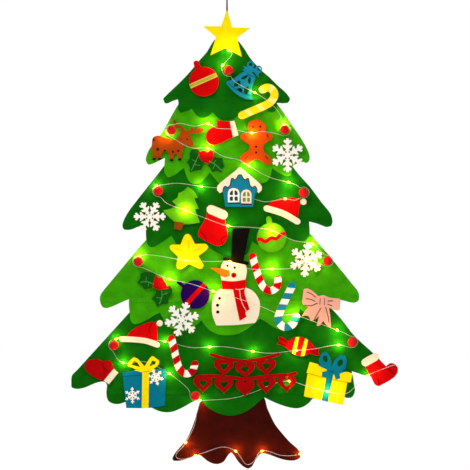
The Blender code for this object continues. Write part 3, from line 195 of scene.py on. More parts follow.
class Shader(Nodes):
    """A material under construction, round one Principled shader."""

    def __init__(self, name: str) -> None:
        """Makes the bare material.

        Args:
            name: its name.
        """
        self.material = bpy.data.materials.new(name)
        self.material.use_nodes = True
        super().__init__(self.material.node_tree)
        self.shader = self.tree.nodes["Principled BSDF"]

    def spot(self) -> bpy.types.NodeSocket:
        """The place on the piece, which keeps a pattern fixed to it."""
        return self.add("ShaderNodeTexCoord").outputs["Object"]

    def noise(self, scale: float, detail: float, **more: float) -> bpy.types.NodeSocket:
        """Adds noise of a scale and a level of detail, with more of its inputs by their names."""
        values = {"Vector": self.spot(), "Scale": scale, "Detail": detail, **more}
        return self.add("ShaderNodeTexNoise", values).outputs[0]

    def stretch(self, value: bpy.types.NodeSocket, wanted: Point,
                given: Point = (0.0, 1.0)) -> bpy.types.NodeSocket:
        """Maps a value from one range to another.

        Args:
            value: the value.
            wanted: the range that it is mapped to.
            given: the range that it comes in.

        Returns:
            The mapped value.
        """
        values = {"Value": value, "From Min": given[0], "From Max": given[1], "To Min": wanted[0],
                  "To Max": wanted[1]}
        return self.add("ShaderNodeMapRange", values).outputs[0]

    def tones(self, value: bpy.types.NodeSocket, light: Shade, *shares: float) -> bpy.types.NodeSocket:
        """Turns a pattern into a colour between two tones.

        Args:
            value: the pattern, from 0 to 1.
            light: the tone at one.
            shares: how much of its red, green and blue is left at nought.

        Returns:
            The colour.
        """
        ramp = self.add("ShaderNodeValToRGB", {"Fac": value})
        first, last = ramp.color_ramp.elements
        first.color, last.color = (*(c * share for c, share in zip(light, shares)), 1.0), light
        return ramp.outputs[0]

    def bump(self, height: bpy.types.NodeSocket, strength: float, distance: float) -> None:
        """Raises the shader's surface by a pattern, so strongly and so high."""
        bump = self.add("ShaderNodeBump", {"Strength": strength, "Distance": distance, "Height": height})
        self.tree.links.new(bump.outputs[0], self.shader.inputs["Normal"])

    def finished(self, values: Inputs) -> bpy.types.Material:
        """Sets or links the shader's inputs.

        Args:
            values: each input's name, and what it gets.

        Returns:
            The finished material.
        """
        self.feed(self.shader, values)
        return self.material


class Finish:
    """A finish that makes its material once and then hands out the same one."""

    name: str
    made: dict[str, bpy.types.Material] = {}

    def material(self) -> bpy.types.Material:
        """The finish's material."""
        if self.name not in Finish.made:
            Finish.made[self.name] = self.make()
        return Finish.made[self.name]

    def make(self) -> bpy.types.Material:
        """Builds the material; each finish has its own way."""
        raise NotImplementedError


@dataclass(frozen=True)
class Felt(Finish):
    """Pressed wool felt: a matt face of short tangled fibres, in one dyed colour."""

    name: str
    colour: Colour
    mottle: float = 0.16
    fibre: float = 0.22
    sheen: float = 0.04

    def make(self) -> bpy.types.Material:
        """Builds cloudy dye, fine fibres in colour and bump, and a little fuzz at the edges."""
        nodes = Shader(self.name)
        bright = linear(self.colour)
        clouds = nodes.noise(42.0, 3.0)
        fibres = nodes.noise(480.0, 4.0, Roughness=0.65, Distortion=1.6)
        dye = nodes.stretch(clouds, (1.0 - self.mottle, 1.0 + self.mottle), (0.3, 0.7))
        hair = nodes.stretch(fibres, (1.0 - self.fibre, 1.0 + self.fibre), (0.25, 0.75))
        both = nodes.add("ShaderNodeMath", {0: dye, 1: hair}, operation="MULTIPLY")
        mix = nodes.add("ShaderNodeMix", {"Factor": 1.0, 6: bright, 7: both.outputs[0]}, data_type="RGBA",
                        blend_type="MULTIPLY", clamp_result=False)
        height = nodes.add("ShaderNodeMath", {0: fibres, 1: nodes.noise(2200.0, 2.0)}, operation="ADD")
        nodes.bump(height.outputs[0], 0.5, 0.0009)
        return nodes.finished({"Base Color": mix.outputs[2], "Roughness": 0.96, "Specular IOR Level": 0.05,
                               "Sheen Weight": self.sheen, "Sheen Roughness": 0.45, "Sheen Tint": bright})


@dataclass(frozen=True)
class Thread(Finish):
    """Spun thread, yarn or cord, with fine slanting strands."""

    name: str
    colour: Colour
    strand_scale: float = 900.0
    roughness: float = 0.8
    shade: float = 0.68

    def make(self) -> bpy.types.Material:
        """Builds slanting bands of light and shade with a soft bump."""
        nodes = Shader(self.name)
        bright = linear(self.colour)
        turned = nodes.add("ShaderNodeMapping", {"Vector": nodes.spot(), "Rotation": (0.6, 0.4, 0.5)})
        strands = nodes.add("ShaderNodeTexWave", {"Vector": turned.outputs[0], "Scale": self.strand_scale / 6,
                                                  "Distortion": 2.5, "Detail": 2.0}).outputs[1]
        nodes.bump(strands, 0.3, 0.0003)
        return nodes.finished({"Base Color": nodes.tones(strands, bright, *[self.shade] * 3),
                               "Roughness": self.roughness, "Sheen Weight": 0.15, "Sheen Tint": bright})


@dataclass(frozen=True)
class Plastic(Finish):
    """Moulded plastic with a fine spark-eroded grain."""

    name: str
    colour: Colour
    roughness: float = 0.42

    def make(self) -> bpy.types.Material:
        """Builds a faintly uneven colour with grain in the roughness and bump."""
        nodes = Shader(self.name)
        grain = nodes.noise(1800.0, 2.0)
        nodes.bump(grain, 0.12, 0.0001)
        return nodes.finished({
            "Base Color": nodes.tones(nodes.noise(60.0, 2.0), linear(self.colour), 0.9, 0.9, 0.9),
            "Roughness": nodes.stretch(grain, (self.roughness - 0.08, self.roughness + 0.12))})


@dataclass(frozen=True)
class Metal(Finish):
    """Thin bright metal, such as silvered wire or a plated contact."""

    name: str
    colour: Colour
    roughness: float = 0.3

    def make(self) -> bpy.types.Material:
        """Builds metal with faint drawing marks in its roughness."""
        nodes = Shader(self.name)
        marks = nodes.noise(700.0, 3.0)
        return nodes.finished({
            "Base Color": nodes.tones(marks, linear(self.colour), 0.85, 0.85, 0.85),
            "Roughness": nodes.stretch(marks, (self.roughness - 0.1, self.roughness + 0.15)),
            "Metallic": 1.0})


@dataclass(frozen=True)
class Cell(Finish):
    """A dry cell's printed sleeve: a dark body with a coloured band towards one end."""

    name: str
    colour: Colour
    middle_x: float
    facing: float
    half_length: float = 0.0252

    def make(self) -> bpy.types.Material:
        """Builds the sleeve's two tones by the place along the cell, and its metal ends."""
        nodes = Shader(self.name)
        split = nodes.add("ShaderNodeSeparateXYZ", {"Vector": nodes.spot()})
        half = self.half_length * self.facing
        along = nodes.stretch(split.outputs[0], (0.0, 1.0), (self.middle_x - half, self.middle_x + half))
        ramp = nodes.add("ShaderNodeValToRGB", {"Fac": along})
        ramp.color_ramp.interpolation = "CONSTANT"
        first, second = ramp.color_ramp.elements
        first.color = (0.55, 0.55, 0.57, 1.0)
        second.position, second.color = 0.03, linear((26, 26, 30))
        for position, colour in ((0.62, linear(self.colour)), (0.94, (0.6, 0.6, 0.62, 1.0))):
            ramp.color_ramp.elements.new(position).color = colour
        return nodes.finished({"Base Color": ramp.outputs[0], "Roughness": 0.3, "Metallic": 0.35})


@dataclass(frozen=True)
class Glow(Finish):
    """A clear drop of resin lit from inside by a warm light."""

    name: str
    colour: Colour
    strength: float

    def make(self) -> bpy.types.Material:
        """Builds warm light whose tone drifts a little from drop to drop."""
        nodes = Shader(self.name)
        warm = nodes.tones(nodes.noise(90.0, 1.0), linear(self.colour), 1.0, 0.82, 0.7)
        return nodes.finished({"Base Color": (0.09, 0.055, 0.012, 1.0), "Emission Color": warm,
                               "Emission Strength": self.strength, "Roughness": 0.12, "Coat Weight": 0.8})


DARK_GREEN = Felt("felt_dark_green", (10, 98, 6), sheen=0.05)
BRIGHT_GREEN = Felt("felt_bright_green", (58, 160, 6), sheen=0.05)
LEAF_GREEN = Felt("felt_leaf_green", (84, 176, 14))
HOLLY_GREEN = Felt("felt_holly_green", (12, 84, 14))
TRUNK_BROWN = Felt("felt_trunk_brown", (56, 9, 5), 0.24, sheen=0.05)
YELLOW = Felt("felt_yellow", (250, 228, 4), 0.05, 0.10)
CANE_YELLOW = Felt("felt_lemon", (250, 230, 24), 0.05, 0.10)
PALE_YELLOW = Felt("felt_pale_yellow", (254, 244, 140), 0.05, 0.10)
BAND_OLIVE = Felt("felt_olive", (184, 176, 52), 0.08, 0.2)
BAND_GOLD = Felt("line_olive_gold", (222, 212, 104), 0.08, 0.2)
RED = Felt("felt_red", (204, 2, 6), 0.08, 0.14)
DEEP_RED = Felt("felt_deep_red", (174, 4, 8), 0.08, 0.14)
GARLAND_RED = Felt("felt_garland_red", (164, 5, 9), 0.08, 0.2)
CREAM = Felt("felt_cream", (248, 236, 208), 0.03, 0.07)
WHITE = Felt("felt_white", (253, 252, 242), 0.03, 0.07)
BLUE = Felt("felt_blue", (22, 132, 160), 0.08, 0.14)
GIFT_BLUE = Felt("felt_gift_blue", (4, 118, 146), 0.08, 0.14)
PINK = Felt("felt_pink", (240, 176, 152), 0.05, 0.08)
NAVY = Felt("felt_navy", (34, 0, 84), 0.1, 0.14)
GINGER = Felt("felt_ginger", (192, 68, 10), 0.1, 0.14)
FAWN = Felt("felt_fawn", (158, 66, 8), 0.12, 0.16)
TREE_BARK = Felt("felt_small_trunk", (126, 66, 8))
ORANGE = Felt("felt_orange", (238, 120, 10), 0.06, 0.1)
BLACK = Felt("felt_black", (8, 7, 8), 0.1, 0.3, 0.01)
LINE_DARK = Felt("line_dark", (36, 16, 10), 0.1, 0.2, 0.0)
LINE_DEEP_RED = Felt("line_deep_red", (110, 2, 6), 0.1, 0.2, 0.0)
LINE_PINK = Felt("line_pink", (112, 56, 52), 0.1, 0.15, 0.0)
LINE_PALE = Felt("line_pale", (240, 196, 170), 0.1, 0.15, 0.0)
LINE_LEAF = Felt("line_leaf", (70, 150, 60), 0.1, 0.15, 0.0)
LINE_BLUE = Felt("line_blue", (6, 84, 112), 0.1, 0.15, 0.0)
LINE_GOLD = Felt("line_gold", (206, 166, 0), 0.1, 0.15, 0.0)
WINDOW_DARK = Felt("window_dark", (40, 60, 70), 0.1, 0.2, 0.0)
WINDOW_OLIVE = Felt("window_olive", (120, 132, 66), 0.1, 0.2, 0.0)
HOOK_TAPE = Felt("hook_tape", (18, 26, 18), 0.05, 0.3, 0.0)
LOOP_TAPE = Felt("loop_tape", (24, 24, 26), 0.1, 0.4, 0.3)
POMPOM_WOOL = Thread("pompom_wool", (238, 16, 22), 1500.0, 0.9, 0.86)
GREEN_THREAD = Thread("green_thread", (0, 62, 6))
LIME_THREAD = Thread("lime_thread", (34, 118, 4))
BROWN_THREAD = Thread("brown_thread", (44, 12, 8))
LOOP_CORD = Thread("loop_cord", (122, 3, 8), 700.0)
SILVER_WIRE = Metal("silver_wire", (236, 232, 218), 0.34)
PLATED = Metal("plated_contact", (196, 196, 200), 0.3)
LAMP = Glow("warm_lamp", (255, 222, 96), 3.2)
CASE_WHITE = Plastic("case_white", (226, 226, 222))
SWITCH_BLACK = Plastic("switch_black", (26, 26, 28), 0.5)


def curve_between(before: Vector, start: Vector, end: Vector, after: Vector, share: float) -> Vector:
    """Finds a point between start and end on a smooth curve that leans on both neighbours.

    Args:
        before: the point before start.
        start: where the curve starts.
        end: where it ends.
        after: the point after end.
        share: how far along the curve the point lies, from 0 to 1.

    Returns:
        The point.
    """
    length = (end - start).length
    leave = (end - before).normalized() * length
    reach = (after - start).normalized() * length
    square, cube = share ** 2, share ** 3
    return (start * (2 * cube - 3 * square + 1) + leave * (cube - 2 * square + share)
            + end * (3 * square - 2 * cube) + reach * (cube - square))


def smooth_route(points: Sequence[Sequence[float]], spacing: float) -> list[Vector]:
    """An open smooth curve through a list of points.

    Args:
        points: the points it passes through.
        spacing: the distance between the points that it is read at.

    Returns:
        The curve's points, the ends among them.
    """
    route = [Vector(p) for p in points]
    found: list[Vector] = []
    for i, (start, end) in enumerate(zip(route, route[1:])):
        before = route[i - 1] if i else start
        after = route[i + 2] if i + 2 < len(route) else end
        steps = max(1, round((end - start).length / spacing))
        found += [curve_between(before, start, end, after, k / steps) for k in range(steps)]
    return found + [route[-1]]


def area_of(loop: Sequence[Point]) -> float:
    """The area inside a loop: above zero where it runs counter-clockwise."""
    return sum(a[0] * b[1] - b[0] * a[1] for a, b in zip(loop, [*loop[1:], loop[0]])) / 2


def circle(centre: Point, radius: float, count: int, squash: float = 1.0, turn: float = 0.0) -> Loop:
    """Spaces points evenly round a centre.

    Args:
        centre: the middle.
        radius: how far the first point lies from it.
        count: how many points there are.
        squash: the other half-width, as a share of the radius.
        turn: how far the whole is turned, in degrees.

    Returns:
        The points.
    """
    cosine, sine = math.cos(math.radians(turn)), math.sin(math.radians(turn))
    rim = []
    for k in range(count):
        a = 2 * math.pi * k / count
        x, y = radius * math.cos(a), radius * squash * math.sin(a)
        rim.append((centre[0] + x * cosine - y * sine, centre[1] + x * sine + y * cosine))
    return rim


@dataclass(frozen=True)
class Poly:
    """An outline drawn point by point, in pixels."""

    points: tuple[Point, ...]

    def outline(self) -> Loop:
        """The points as they are."""
        return list(self.points)


@dataclass(frozen=True)
class Strip:
    """A strip of even width along a line, with round ends, in pixels."""

    points: tuple[Point, ...]
    width: float

    def outline(self) -> Loop:
        """Draws the strip's two sides and its half-round ends.

        Returns:
            The outline.
        """
        route = smooth_route(self.points, 2.0)
        left, right = [], []
        for i, point in enumerate(route):
            ahead = route[min(i + 1, len(route) - 1)] - route[max(i - 1, 0)]
            side = Vector((-ahead.y, ahead.x)).normalized() * self.width / 2
            left.append(point + side)
            right.append(point - side)
        ends = []
        for centre, arm in ((route[-1], left[-1] - route[-1]), (route[0], right[0] - route[0])):
            turns = [-math.pi * k / 6 for k in range(1, 6)]
            ends.append([centre + Vector((arm.x * math.cos(a) - arm.y * math.sin(a),
                                          arm.x * math.sin(a) + arm.y * math.cos(a))) for a in turns])
        return [(p.x, p.y) for p in [*left, *ends[0], *reversed(right), *ends[1]]]


@dataclass(frozen=True)
class Disc:
    """A round or oval shape, in pixels."""

    centre: Point
    radius: float
    squash: float = 1.0
    turn: float = 0.0

    def outline(self) -> Loop:
        """The rim, as finely divided as its size asks for."""
        return circle(self.centre, self.radius, 12 if self.radius < 2 else 24, self.squash, self.turn)


Shape = Poly | Strip | Disc


def in_metres(shape: Shape) -> Loop:
    """A shape's outline in x and z, counter-clockwise seen from the front."""
    loop = [place(*p) for p in shape.outline()]
    return loop if area_of(loop) > 0 else loop[::-1]


def turns_round(loop: Sequence[Point], spots: np.ndarray) -> np.ndarray:
    """Counts how many times a loop runs counter-clockwise round each of some spots.

    Args:
        loop: a closed loop.
        spots: the spots, a row each.

    Returns:
        The count for each spot, below zero for clockwise turns.
    """
    corners = np.array(loop)
    x, z = spots[:, :1], spots[:, 1:]
    ax, az = corners[:, 0], corners[:, 1]
    bx, bz = np.roll(ax, -1), np.roll(az, -1)
    left = (bx - ax) * (z - az) - (x - ax) * (bz - az)
    up = (az <= z) & (bz > z) & (left > 0)
    down = (az > z) & (bz <= z) & (left < 0)
    return up.sum(axis=1) - down.sum(axis=1)


def regions(triangles: Sequence[Sequence[int]], walls: set[frozenset[int]]) -> tuple[np.ndarray, set[int]]:
    """Groups triangles that no wall parts.

    Args:
        triangles: the triangles' corner numbers.
        walls: the edges that part them.

    Returns:
        Each triangle's group, and the groups that reach the outer border without a wall.
    """
    beside: dict[frozenset[int], list[int]] = {}
    for number, corners in enumerate(triangles):
        for a, b in zip(corners, (*corners[1:], corners[0])):
            beside.setdefault(frozenset((a, b)), []).append(number)
    joined: list[list[int]] = [[] for _ in triangles]
    for edge, sides in beside.items():
        if edge not in walls and len(sides) == 2:
            joined[sides[0]].append(sides[1])
            joined[sides[1]].append(sides[0])
    group = np.full(len(triangles), -1)
    for start in range(len(triangles)):
        waiting = [start] if group[start] < 0 else []
        while waiting:
            here = waiting.pop()
            if group[here] < 0:
                group[here] = start
                waiting += joined[here]
    return group, {int(group[sides[0]]) for edge, sides in beside.items() if edge not in walls and len(sides) == 1}


def divide(loops: Sequence[Sequence[Point]], merge: float) -> tuple[np.ndarray, list, np.ndarray, np.ndarray]:
    """Divides the plane along loops into triangles.

    Args:
        loops: the loops.
        merge: how close two points may lie before they count as one.

    Returns:
        The points, the loop points that each came from, the triangles, and the turns of each
        loop round each triangle, which the largest triangle between the loops tells.
    """
    points: list[Vector] = []
    edges: list[tuple[int, int]] = []
    for loop in loops:
        first = len(points)
        edges += [(first + k, first + (k + 1) % len(loop)) for k in range(len(loop))]
        points += [Vector(p) for p in loop]
    found = geometry.delaunay_2d_cdt(points, edges, [], 0, merge)
    places = np.array([tuple(p) for p in found[0]])
    triangles = np.array(found[2])
    corners = places[triangles]
    first, second = corners[:, 1] - corners[:, 0], corners[:, 2] - corners[:, 0]
    sizes = np.abs(first[:, 0] * second[:, 1] - first[:, 1] * second[:, 0])
    group, outer = regions(found[2], {frozenset(edge) for edge, source in zip(found[1], found[4]) if source})
    largest: dict[int, int] = {}
    for number, name in enumerate(group.tolist()):
        if name not in largest or sizes[number] > sizes[largest[name]]:
            largest[name] = number
    middles = corners.mean(axis=1)[[largest[name] for name in group.tolist()]]
    turns = np.array([turns_round(loop, middles) for loop in loops])
    turns[:, np.isin(group, list(outer))] = 0
    return places, found[3], triangles, turns


def edge_loops(points: Sequence[Point], triangles: Iterable[tuple[int, ...]]) -> list[Loop]:
    """The border of a set of triangles.

    Args:
        points: the corners.
        triangles: corner numbers, counter-clockwise.

    Returns:
        Closed loops: outer ones counter-clockwise, holes clockwise.
    """
    edges = {(a, b) for t in triangles for a, b in zip(t, (*t[1:], t[0]))}
    leaving: dict[int, list[int]] = {}
    for a, b in edges:
        if (b, a) not in edges:
            leaving.setdefault(a, []).append(b)
    loops = []
    while leaving:
        start = min(leaving)
        chain, here = [], start
        while here in leaving:
            chain.append(here)
            following = leaving[here].pop()
            if not leaving[here]:
                del leaving[here]
            here = following
        loop = [(points[i][0], points[i][1]) for i in chain]
        loop = [p for p, q in zip(loop, loop[-1:] + loop[:-1]) if math.dist(p, q) > SHORTEST_SIDE]
        if len(loop) > 2 and abs(area_of(loop)) > SMALLEST_AREA:
            loops.append(loop)
    return loops


def combine(solids: Iterable[Loop], cuts: Iterable[Loop] = (),
            within: Sequence[Loop] | None = None) -> list[Loop]:
    """Joins shapes, cuts others from them and keeps what lies within an outline.

    Args:
        solids: loops to join.
        cuts: loops to cut away.
        within: the outline's loops, holes clockwise, or None for no limit.

    Returns:
        The border loops of what is left.
    """
    groups = (list(solids), list(cuts), list(within or ()))
    places, _, triangles, turns = divide([loop for group in groups for loop in group], WELD)
    solid, cut, limit = np.split(turns, np.cumsum([len(group) for group in groups[:2]]))
    kept = solid.sum(axis=0) > 0
    if groups[1]:
        kept &= cut.max(axis=0) <= 0
    if within is not None:
        kept &= limit.sum(axis=0) > 0
    return edge_loops(places, triangles[kept].tolist())


def soften(loop: Loop, corner: float = 0.0006, spacing: float = 0.002) -> Loop:
    """Rounds a loop's gentle bends into curves and nips its sharp corners.

    Args:
        loop: a closed loop.
        corner: how far from a sharp corner it is nipped.
        spacing: the distance between points along the curves.

    Returns:
        The finer loop.
    """
    points = [Vector(p) for p in loop]
    count = len(points)
    sharp = []
    for i, point in enumerate(points):
        first, second = point - points[i - 1], points[(i + 1) % count] - point
        sharp.append(abs(first.angle_signed(second, 0.0)) > CORNER_TURN
                     or max(first.length, second.length) > LONG_TO_SHORT * min(first.length, second.length))
    finer: list[Vector] = []
    for i, start in enumerate(points):
        end, after = points[(i + 1) % count], points[(i + 2) % count]
        side = end - start
        nip = min(corner, side.length * NIP_SHARE) * side.normalized()
        if sharp[i]:
            back = points[i - 1] - start
            finer.append(start + back.normalized() * min(corner, back.length * NIP_SHARE))
            finer.append(start + nip)
        else:
            finer.append(start)
        if sharp[i] and sharp[(i + 1) % count]:
            continue
        before = start if sharp[i] else points[i - 1]
        beyond = end if sharp[(i + 1) % count] else after
        steps = max(1, min(6, math.ceil(side.length / spacing)))
        finer += [curve_between(before, start, end, beyond, k / steps) for k in range(1, steps)]
    return [(p.x, p.y) for p in finer]


def inward(loop: Sequence[Point]) -> list[Point]:
    """Finds how each point of a loop moves for one unit of inset, towards the felt's side.

    Args:
        loop: a closed loop.

    Returns:
        Each point's way, longer at a corner.
    """
    ways = []
    for before, point, after in zip([loop[-1], *loop[:-1]], loop, [*loop[1:], loop[0]]):
        first = (Vector(point) - Vector(before)).normalized()
        second = (Vector(after) - Vector(point)).normalized()
        a, b = Vector((-first.y, first.x)), Vector((-second.y, second.x))
        spread = max(1.0 + a.dot(b), 0.6)
        ways.append(((a.x + b.x) / spread, (a.y + b.y) / spread))
    return ways


def new_object(name: str, mesh: bpy.types.Mesh) -> bpy.types.Object:
    """Links a mesh to the scene as an object at the origin.

    Args:
        name: the object's name.
        mesh: the mesh.

    Returns:
        The object.
    """
    made = bpy.data.objects.new(name, mesh)
    bpy.context.scene.collection.objects.link(made)
    return made


@dataclass(frozen=True)
class Plate:
    """A flat piece of felt with softly rounded rims.

    Attributes:
        name: the piece's name.
        loops: its outline, holes clockwise.
        front: y of its front face.
        back: y of its back face.
        finish: what it is made of.
        rim: the radius of its front rim.
    """

    name: str
    loops: list[Loop]
    front: float
    back: float
    finish: Finish
    rim: float = RIM

    def fill(self, ring: list[Point]) -> tuple[list[Point], list[int], list[list[int]]]:
        """Fills one ring of the outline with triangles.

        Args:
            ring: the ring's points, loop after loop.

        Returns:
            Points added where its sides cross, the number of each corner, with the added ones
            below zero, and the triangles.
        """
        sizes = np.cumsum([0] + [len(loop) for loop in self.loops])
        places, origins, triangles, turns = divide([ring[a:b] for a, b in zip(sizes, sizes[1:])], 1e-8)
        added: list[Point] = []
        number = []
        for place_, origin in zip(places.tolist(), origins):
            if not origin:
                added.append((place_[0], place_[1]))
            number.append(origin[0] if origin else -len(added))
        return added, number, triangles[turns.sum(axis=0) > 0].tolist()

    def build(self) -> bpy.types.Object:
        """Builds the plate's faces and rims as one closed mesh.

        Returns:
            The plate.
        """
        thick = self.back - self.front
        ways = [inward(loop) for loop in self.loops]
        for share in RIM_SHARES:
            rim = min(self.rim, thick * RIM_LIMIT) * share
            rings = ((rim, 0.0), (rim * RIM_MIDDLE, rim * RIM_MIDDLE), (0.0, rim),
                     (0.0, thick - rim * BACK_RIM), (rim * BACK_RIM, thick))
            flats = [[(p[0] + w[0] * inset, p[1] + w[1] * inset) for loop, way in zip(self.loops, ways)
                      for p, w in zip(loop, way)] for inset, _ in rings]
            filled = (self.fill(flats[0]), self.fill(flats[-1]))
            if not filled[0][0] and not filled[1][0]:
                break
        count = len(flats[0])
        vertices = [(x, self.front + depth, z) for flat, (_, depth) in zip(flats, rings) for x, z in flat]
        faces: list[Sequence[int]] = []
        first = 0
        for loop in self.loops:
            for k in range(len(loop)):
                a, b = first + k, first + (k + 1) % len(loop)
                faces += [(b + r * count, a + r * count, a + (r + 1) * count, b + (r + 1) * count)
                          for r in range(len(rings) - 1)]
            first += len(loop)
        for (added, number, triangles), base, y in zip(filled, (0, count * (len(rings) - 1)),
                                                       (self.front, self.back)):
            corner = [n + base if n >= 0 else len(vertices) - 1 - n for n in number]
            vertices += [(x, y, z) for x, z in added]
            turned = -1 if base else 1
            faces += [[corner[i] for i in triangle][::turned] for triangle in triangles]
        mesh = bpy.data.meshes.new(self.name)
        mesh.from_pydata(vertices, [], faces)
        mesh.validate()
        mesh.materials.append(self.finish.material())
        self.close(mesh)
        log.info("%s: %d faces", self.name, len(mesh.polygons))
        return new_object(self.name, mesh)

    def close(self, mesh: bpy.types.Mesh) -> None:
        """Joins corners that touch, fills the nicks that crossing rims leave and shades the rims round.

        Args:
            mesh: the plate's mesh, which is changed.
        """
        work = bmesh.new()
        work.from_mesh(mesh)
        bmesh.ops.remove_doubles(work, verts=work.verts, dist=0.000002)
        border = [edge for edge in work.edges if len(edge.link_faces) == 1]
        if border:
            nicks = bmesh.ops.holes_fill(work, edges=border, sides=0)["faces"]
            bmesh.ops.triangulate(work, faces=nicks)
            bmesh.ops.recalc_face_normals(work, faces=work.faces)
        for face in work.faces:
            face.smooth = True
        for edge in work.edges:
            edge.smooth = len({abs(face.normal.y) > 0.99 for face in edge.link_faces}) == 1
        work.to_mesh(mesh)
        work.free()


def front_loops(node: bpy.types.Object) -> list[Loop]:
    """The outline of a packed felt piece's front face.

    Args:
        node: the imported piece.

    Returns:
        Its loops in x and z, holes clockwise.
    """
    work = bmesh.new()
    work.from_mesh(node.data)
    bmesh.ops.remove_doubles(work, verts=work.verts, dist=0.00001)
    work.verts.index_update()
    triangles = [tuple(v.index for v in face.verts) for face in work.faces if face.normal.y < -0.5]
    points = [(v.co.x, v.co.z) for v in work.verts]
    work.free()
    return edge_loops(points, triangles)


class GeometryTree(Nodes):
    """A Geometry Nodes tree built in steps, which ends in realised geometry with a finish."""

    def __init__(self, name: str, inputs: dict[str, float]) -> None:
        """Starts a tree with named number inputs.

        Args:
            name: the tree's name.
            inputs: each input's name and value.
        """
        super().__init__(bpy.data.node_groups.new(name, "GeometryNodeTree"))
        sockets = self.tree.interface
        sockets.new_socket("Geometry", in_out="INPUT", socket_type="NodeSocketGeometry")
        self.values = {}
        for label, value in inputs.items():
            kind = "NodeSocketInt" if isinstance(value, int) else "NodeSocketFloat"
            socket = sockets.new_socket(label, in_out="INPUT", socket_type=kind)
            self.values[socket.identifier] = value
        sockets.new_socket("Geometry", in_out="OUTPUT", socket_type="NodeSocketGeometry")
        self.given = self.add("NodeGroupInput").outputs

    def join(self, *parts: bpy.types.NodeSocket) -> bpy.types.NodeSocket:
        """Joins parts into one geometry.

        Args:
            parts: the sockets that they come from.

        Returns:
            The joined geometry.
        """
        whole = self.add("GeometryNodeJoinGeometry")
        for part in parts:
            self.tree.links.new(part, whole.inputs[0])
        return whole.outputs[0]

    def spaced(self, step: str) -> bpy.types.NodeSocket:
        """Makes the host's line a curve with points at even steps.

        Args:
            step: the name of the input with the step's length.

        Returns:
            The curve.
        """
        line = self.add("GeometryNodeMeshToCurve", {"Mesh": self.given["Geometry"]})
        values = {"Curve": line.outputs[0], "Length": self.given[step]}
        return self.add("GeometryNodeResampleCurve", values, mode="LENGTH").outputs[0]

    def bead(self, segments: int, rings: int, *widths: str) -> bpy.types.NodeSocket:
        """Makes an oval ball.

        Args:
            segments: its divisions round.
            rings: its divisions from end to end.
            widths: the names of the inputs with its width along x, y and z.

        Returns:
            The ball.
        """
        ball = self.add("GeometryNodeMeshUVSphere", {"Segments": segments, "Rings": rings, "Radius": 0.5})
        size = self.add("ShaderNodeCombineXYZ", {k: self.given[width] for k, width in enumerate(widths)})
        values = {"Geometry": ball.outputs[0], "Scale": size.outputs[0]}
        return self.add("GeometryNodeTransform", values).outputs[0]

    def twist(self, count: int, sides: int) -> bpy.types.NodeSocket:
        """Twists strands along the host's line, by the inputs Step, Turns, Strand and Away.

        Args:
            count: how many strands there are.
            sides: how many sides each one has.

        Returns:
            The strands as closed tubes.
        """
        along = self.add("GeometryNodeSplineParameter")
        tilt = self.add("ShaderNodeMath", {0: along.outputs["Factor"], 1: self.given["Turns"]},
                        operation="MULTIPLY")
        curve = self.add("GeometryNodeSetCurveTilt", {"Curve": self.spaced("Step"), "Tilt": tilt.outputs[0]})
        strand = self.add("GeometryNodeCurvePrimitiveCircle",
                          {"Resolution": sides, "Radius": self.given["Strand"]})
        strands = []
        for k in range(count):
            a = 2 * math.pi * k / count
            move = self.add("ShaderNodeVectorMath", {0: (math.cos(a), math.sin(a), 0.0),
                                                     "Scale": self.given["Away"]}, operation="SCALE")
            values = {"Geometry": strand.outputs[0], "Translation": move.outputs[0]}
            strands.append(self.add("GeometryNodeTransform", values).outputs[0])
        tube = self.add("GeometryNodeCurveToMesh", {"Curve": curve.outputs[0], "Fill Caps": True,
                                                    "Profile Curve": self.join(*strands)})
        return tube.outputs[0]

    def end(self, geometry_out: bpy.types.NodeSocket, finish: Finish) -> None:
        """Ends the tree.

        Args:
            geometry_out: the socket with what was made.
            finish: the finish it gets.
        """
        real = self.add("GeometryNodeRealizeInstances", {"Geometry": geometry_out})
        dressed = self.add("GeometryNodeSetMaterial",
                           {"Geometry": real.outputs[0], "Material": finish.material()})
        self.add("NodeGroupOutput", {0: dressed.outputs[0]})

    def grow(self, name: str, host: bpy.types.Object) -> bpy.types.Object:
        """Runs the tree on a host object and keeps the result as a plain mesh.

        Args:
            name: the new piece's name.
            host: the object that the tree reads, which is then removed.

        Returns:
            The new piece.
        """
        modifier = host.modifiers.new(name, "NODES")
        modifier.node_group = self.tree
        for identifier, value in self.values.items():
            modifier[identifier] = value
        graph = bpy.context.evaluated_depsgraph_get()
        mesh = bpy.data.meshes.new_from_object(host.evaluated_get(graph), depsgraph=graph)
        mesh.name = name
        mesh.shade_smooth()
        log.info("%s: %d faces", name, len(mesh.polygons))
        bpy.data.objects.remove(host, do_unlink=True)
        return new_object(name, mesh)


def length_of(path: Sequence[Vector]) -> float:
    """The length of a line of points."""
    return sum((b - a).length for a, b in zip(path, path[1:]))


def eased(values: np.ndarray) -> np.ndarray:
    """The inner values of a row, each moved halfway to the middle of its neighbours."""
    return 0.5 * values[1:-1] + 0.25 * (values[:-2] + values[2:])


def line_host(*runs: Sequence[Vector]) -> bpy.types.Object:
    """Makes bare lines of edges for a tree to follow.

    Args:
        runs: the lines' points.

    Returns:
        The lines as one object.
    """
    points: list[tuple[float, ...]] = []
    edges: list[tuple[int, int]] = []
    for run in runs:
        edges += [(len(points) + i, len(points) + i + 1) for i in range(len(run) - 1)]
        points += [tuple(p) for p in run]
    mesh = bpy.data.meshes.new("line")
    mesh.from_pydata(points, edges, [])
    return new_object("line", mesh)


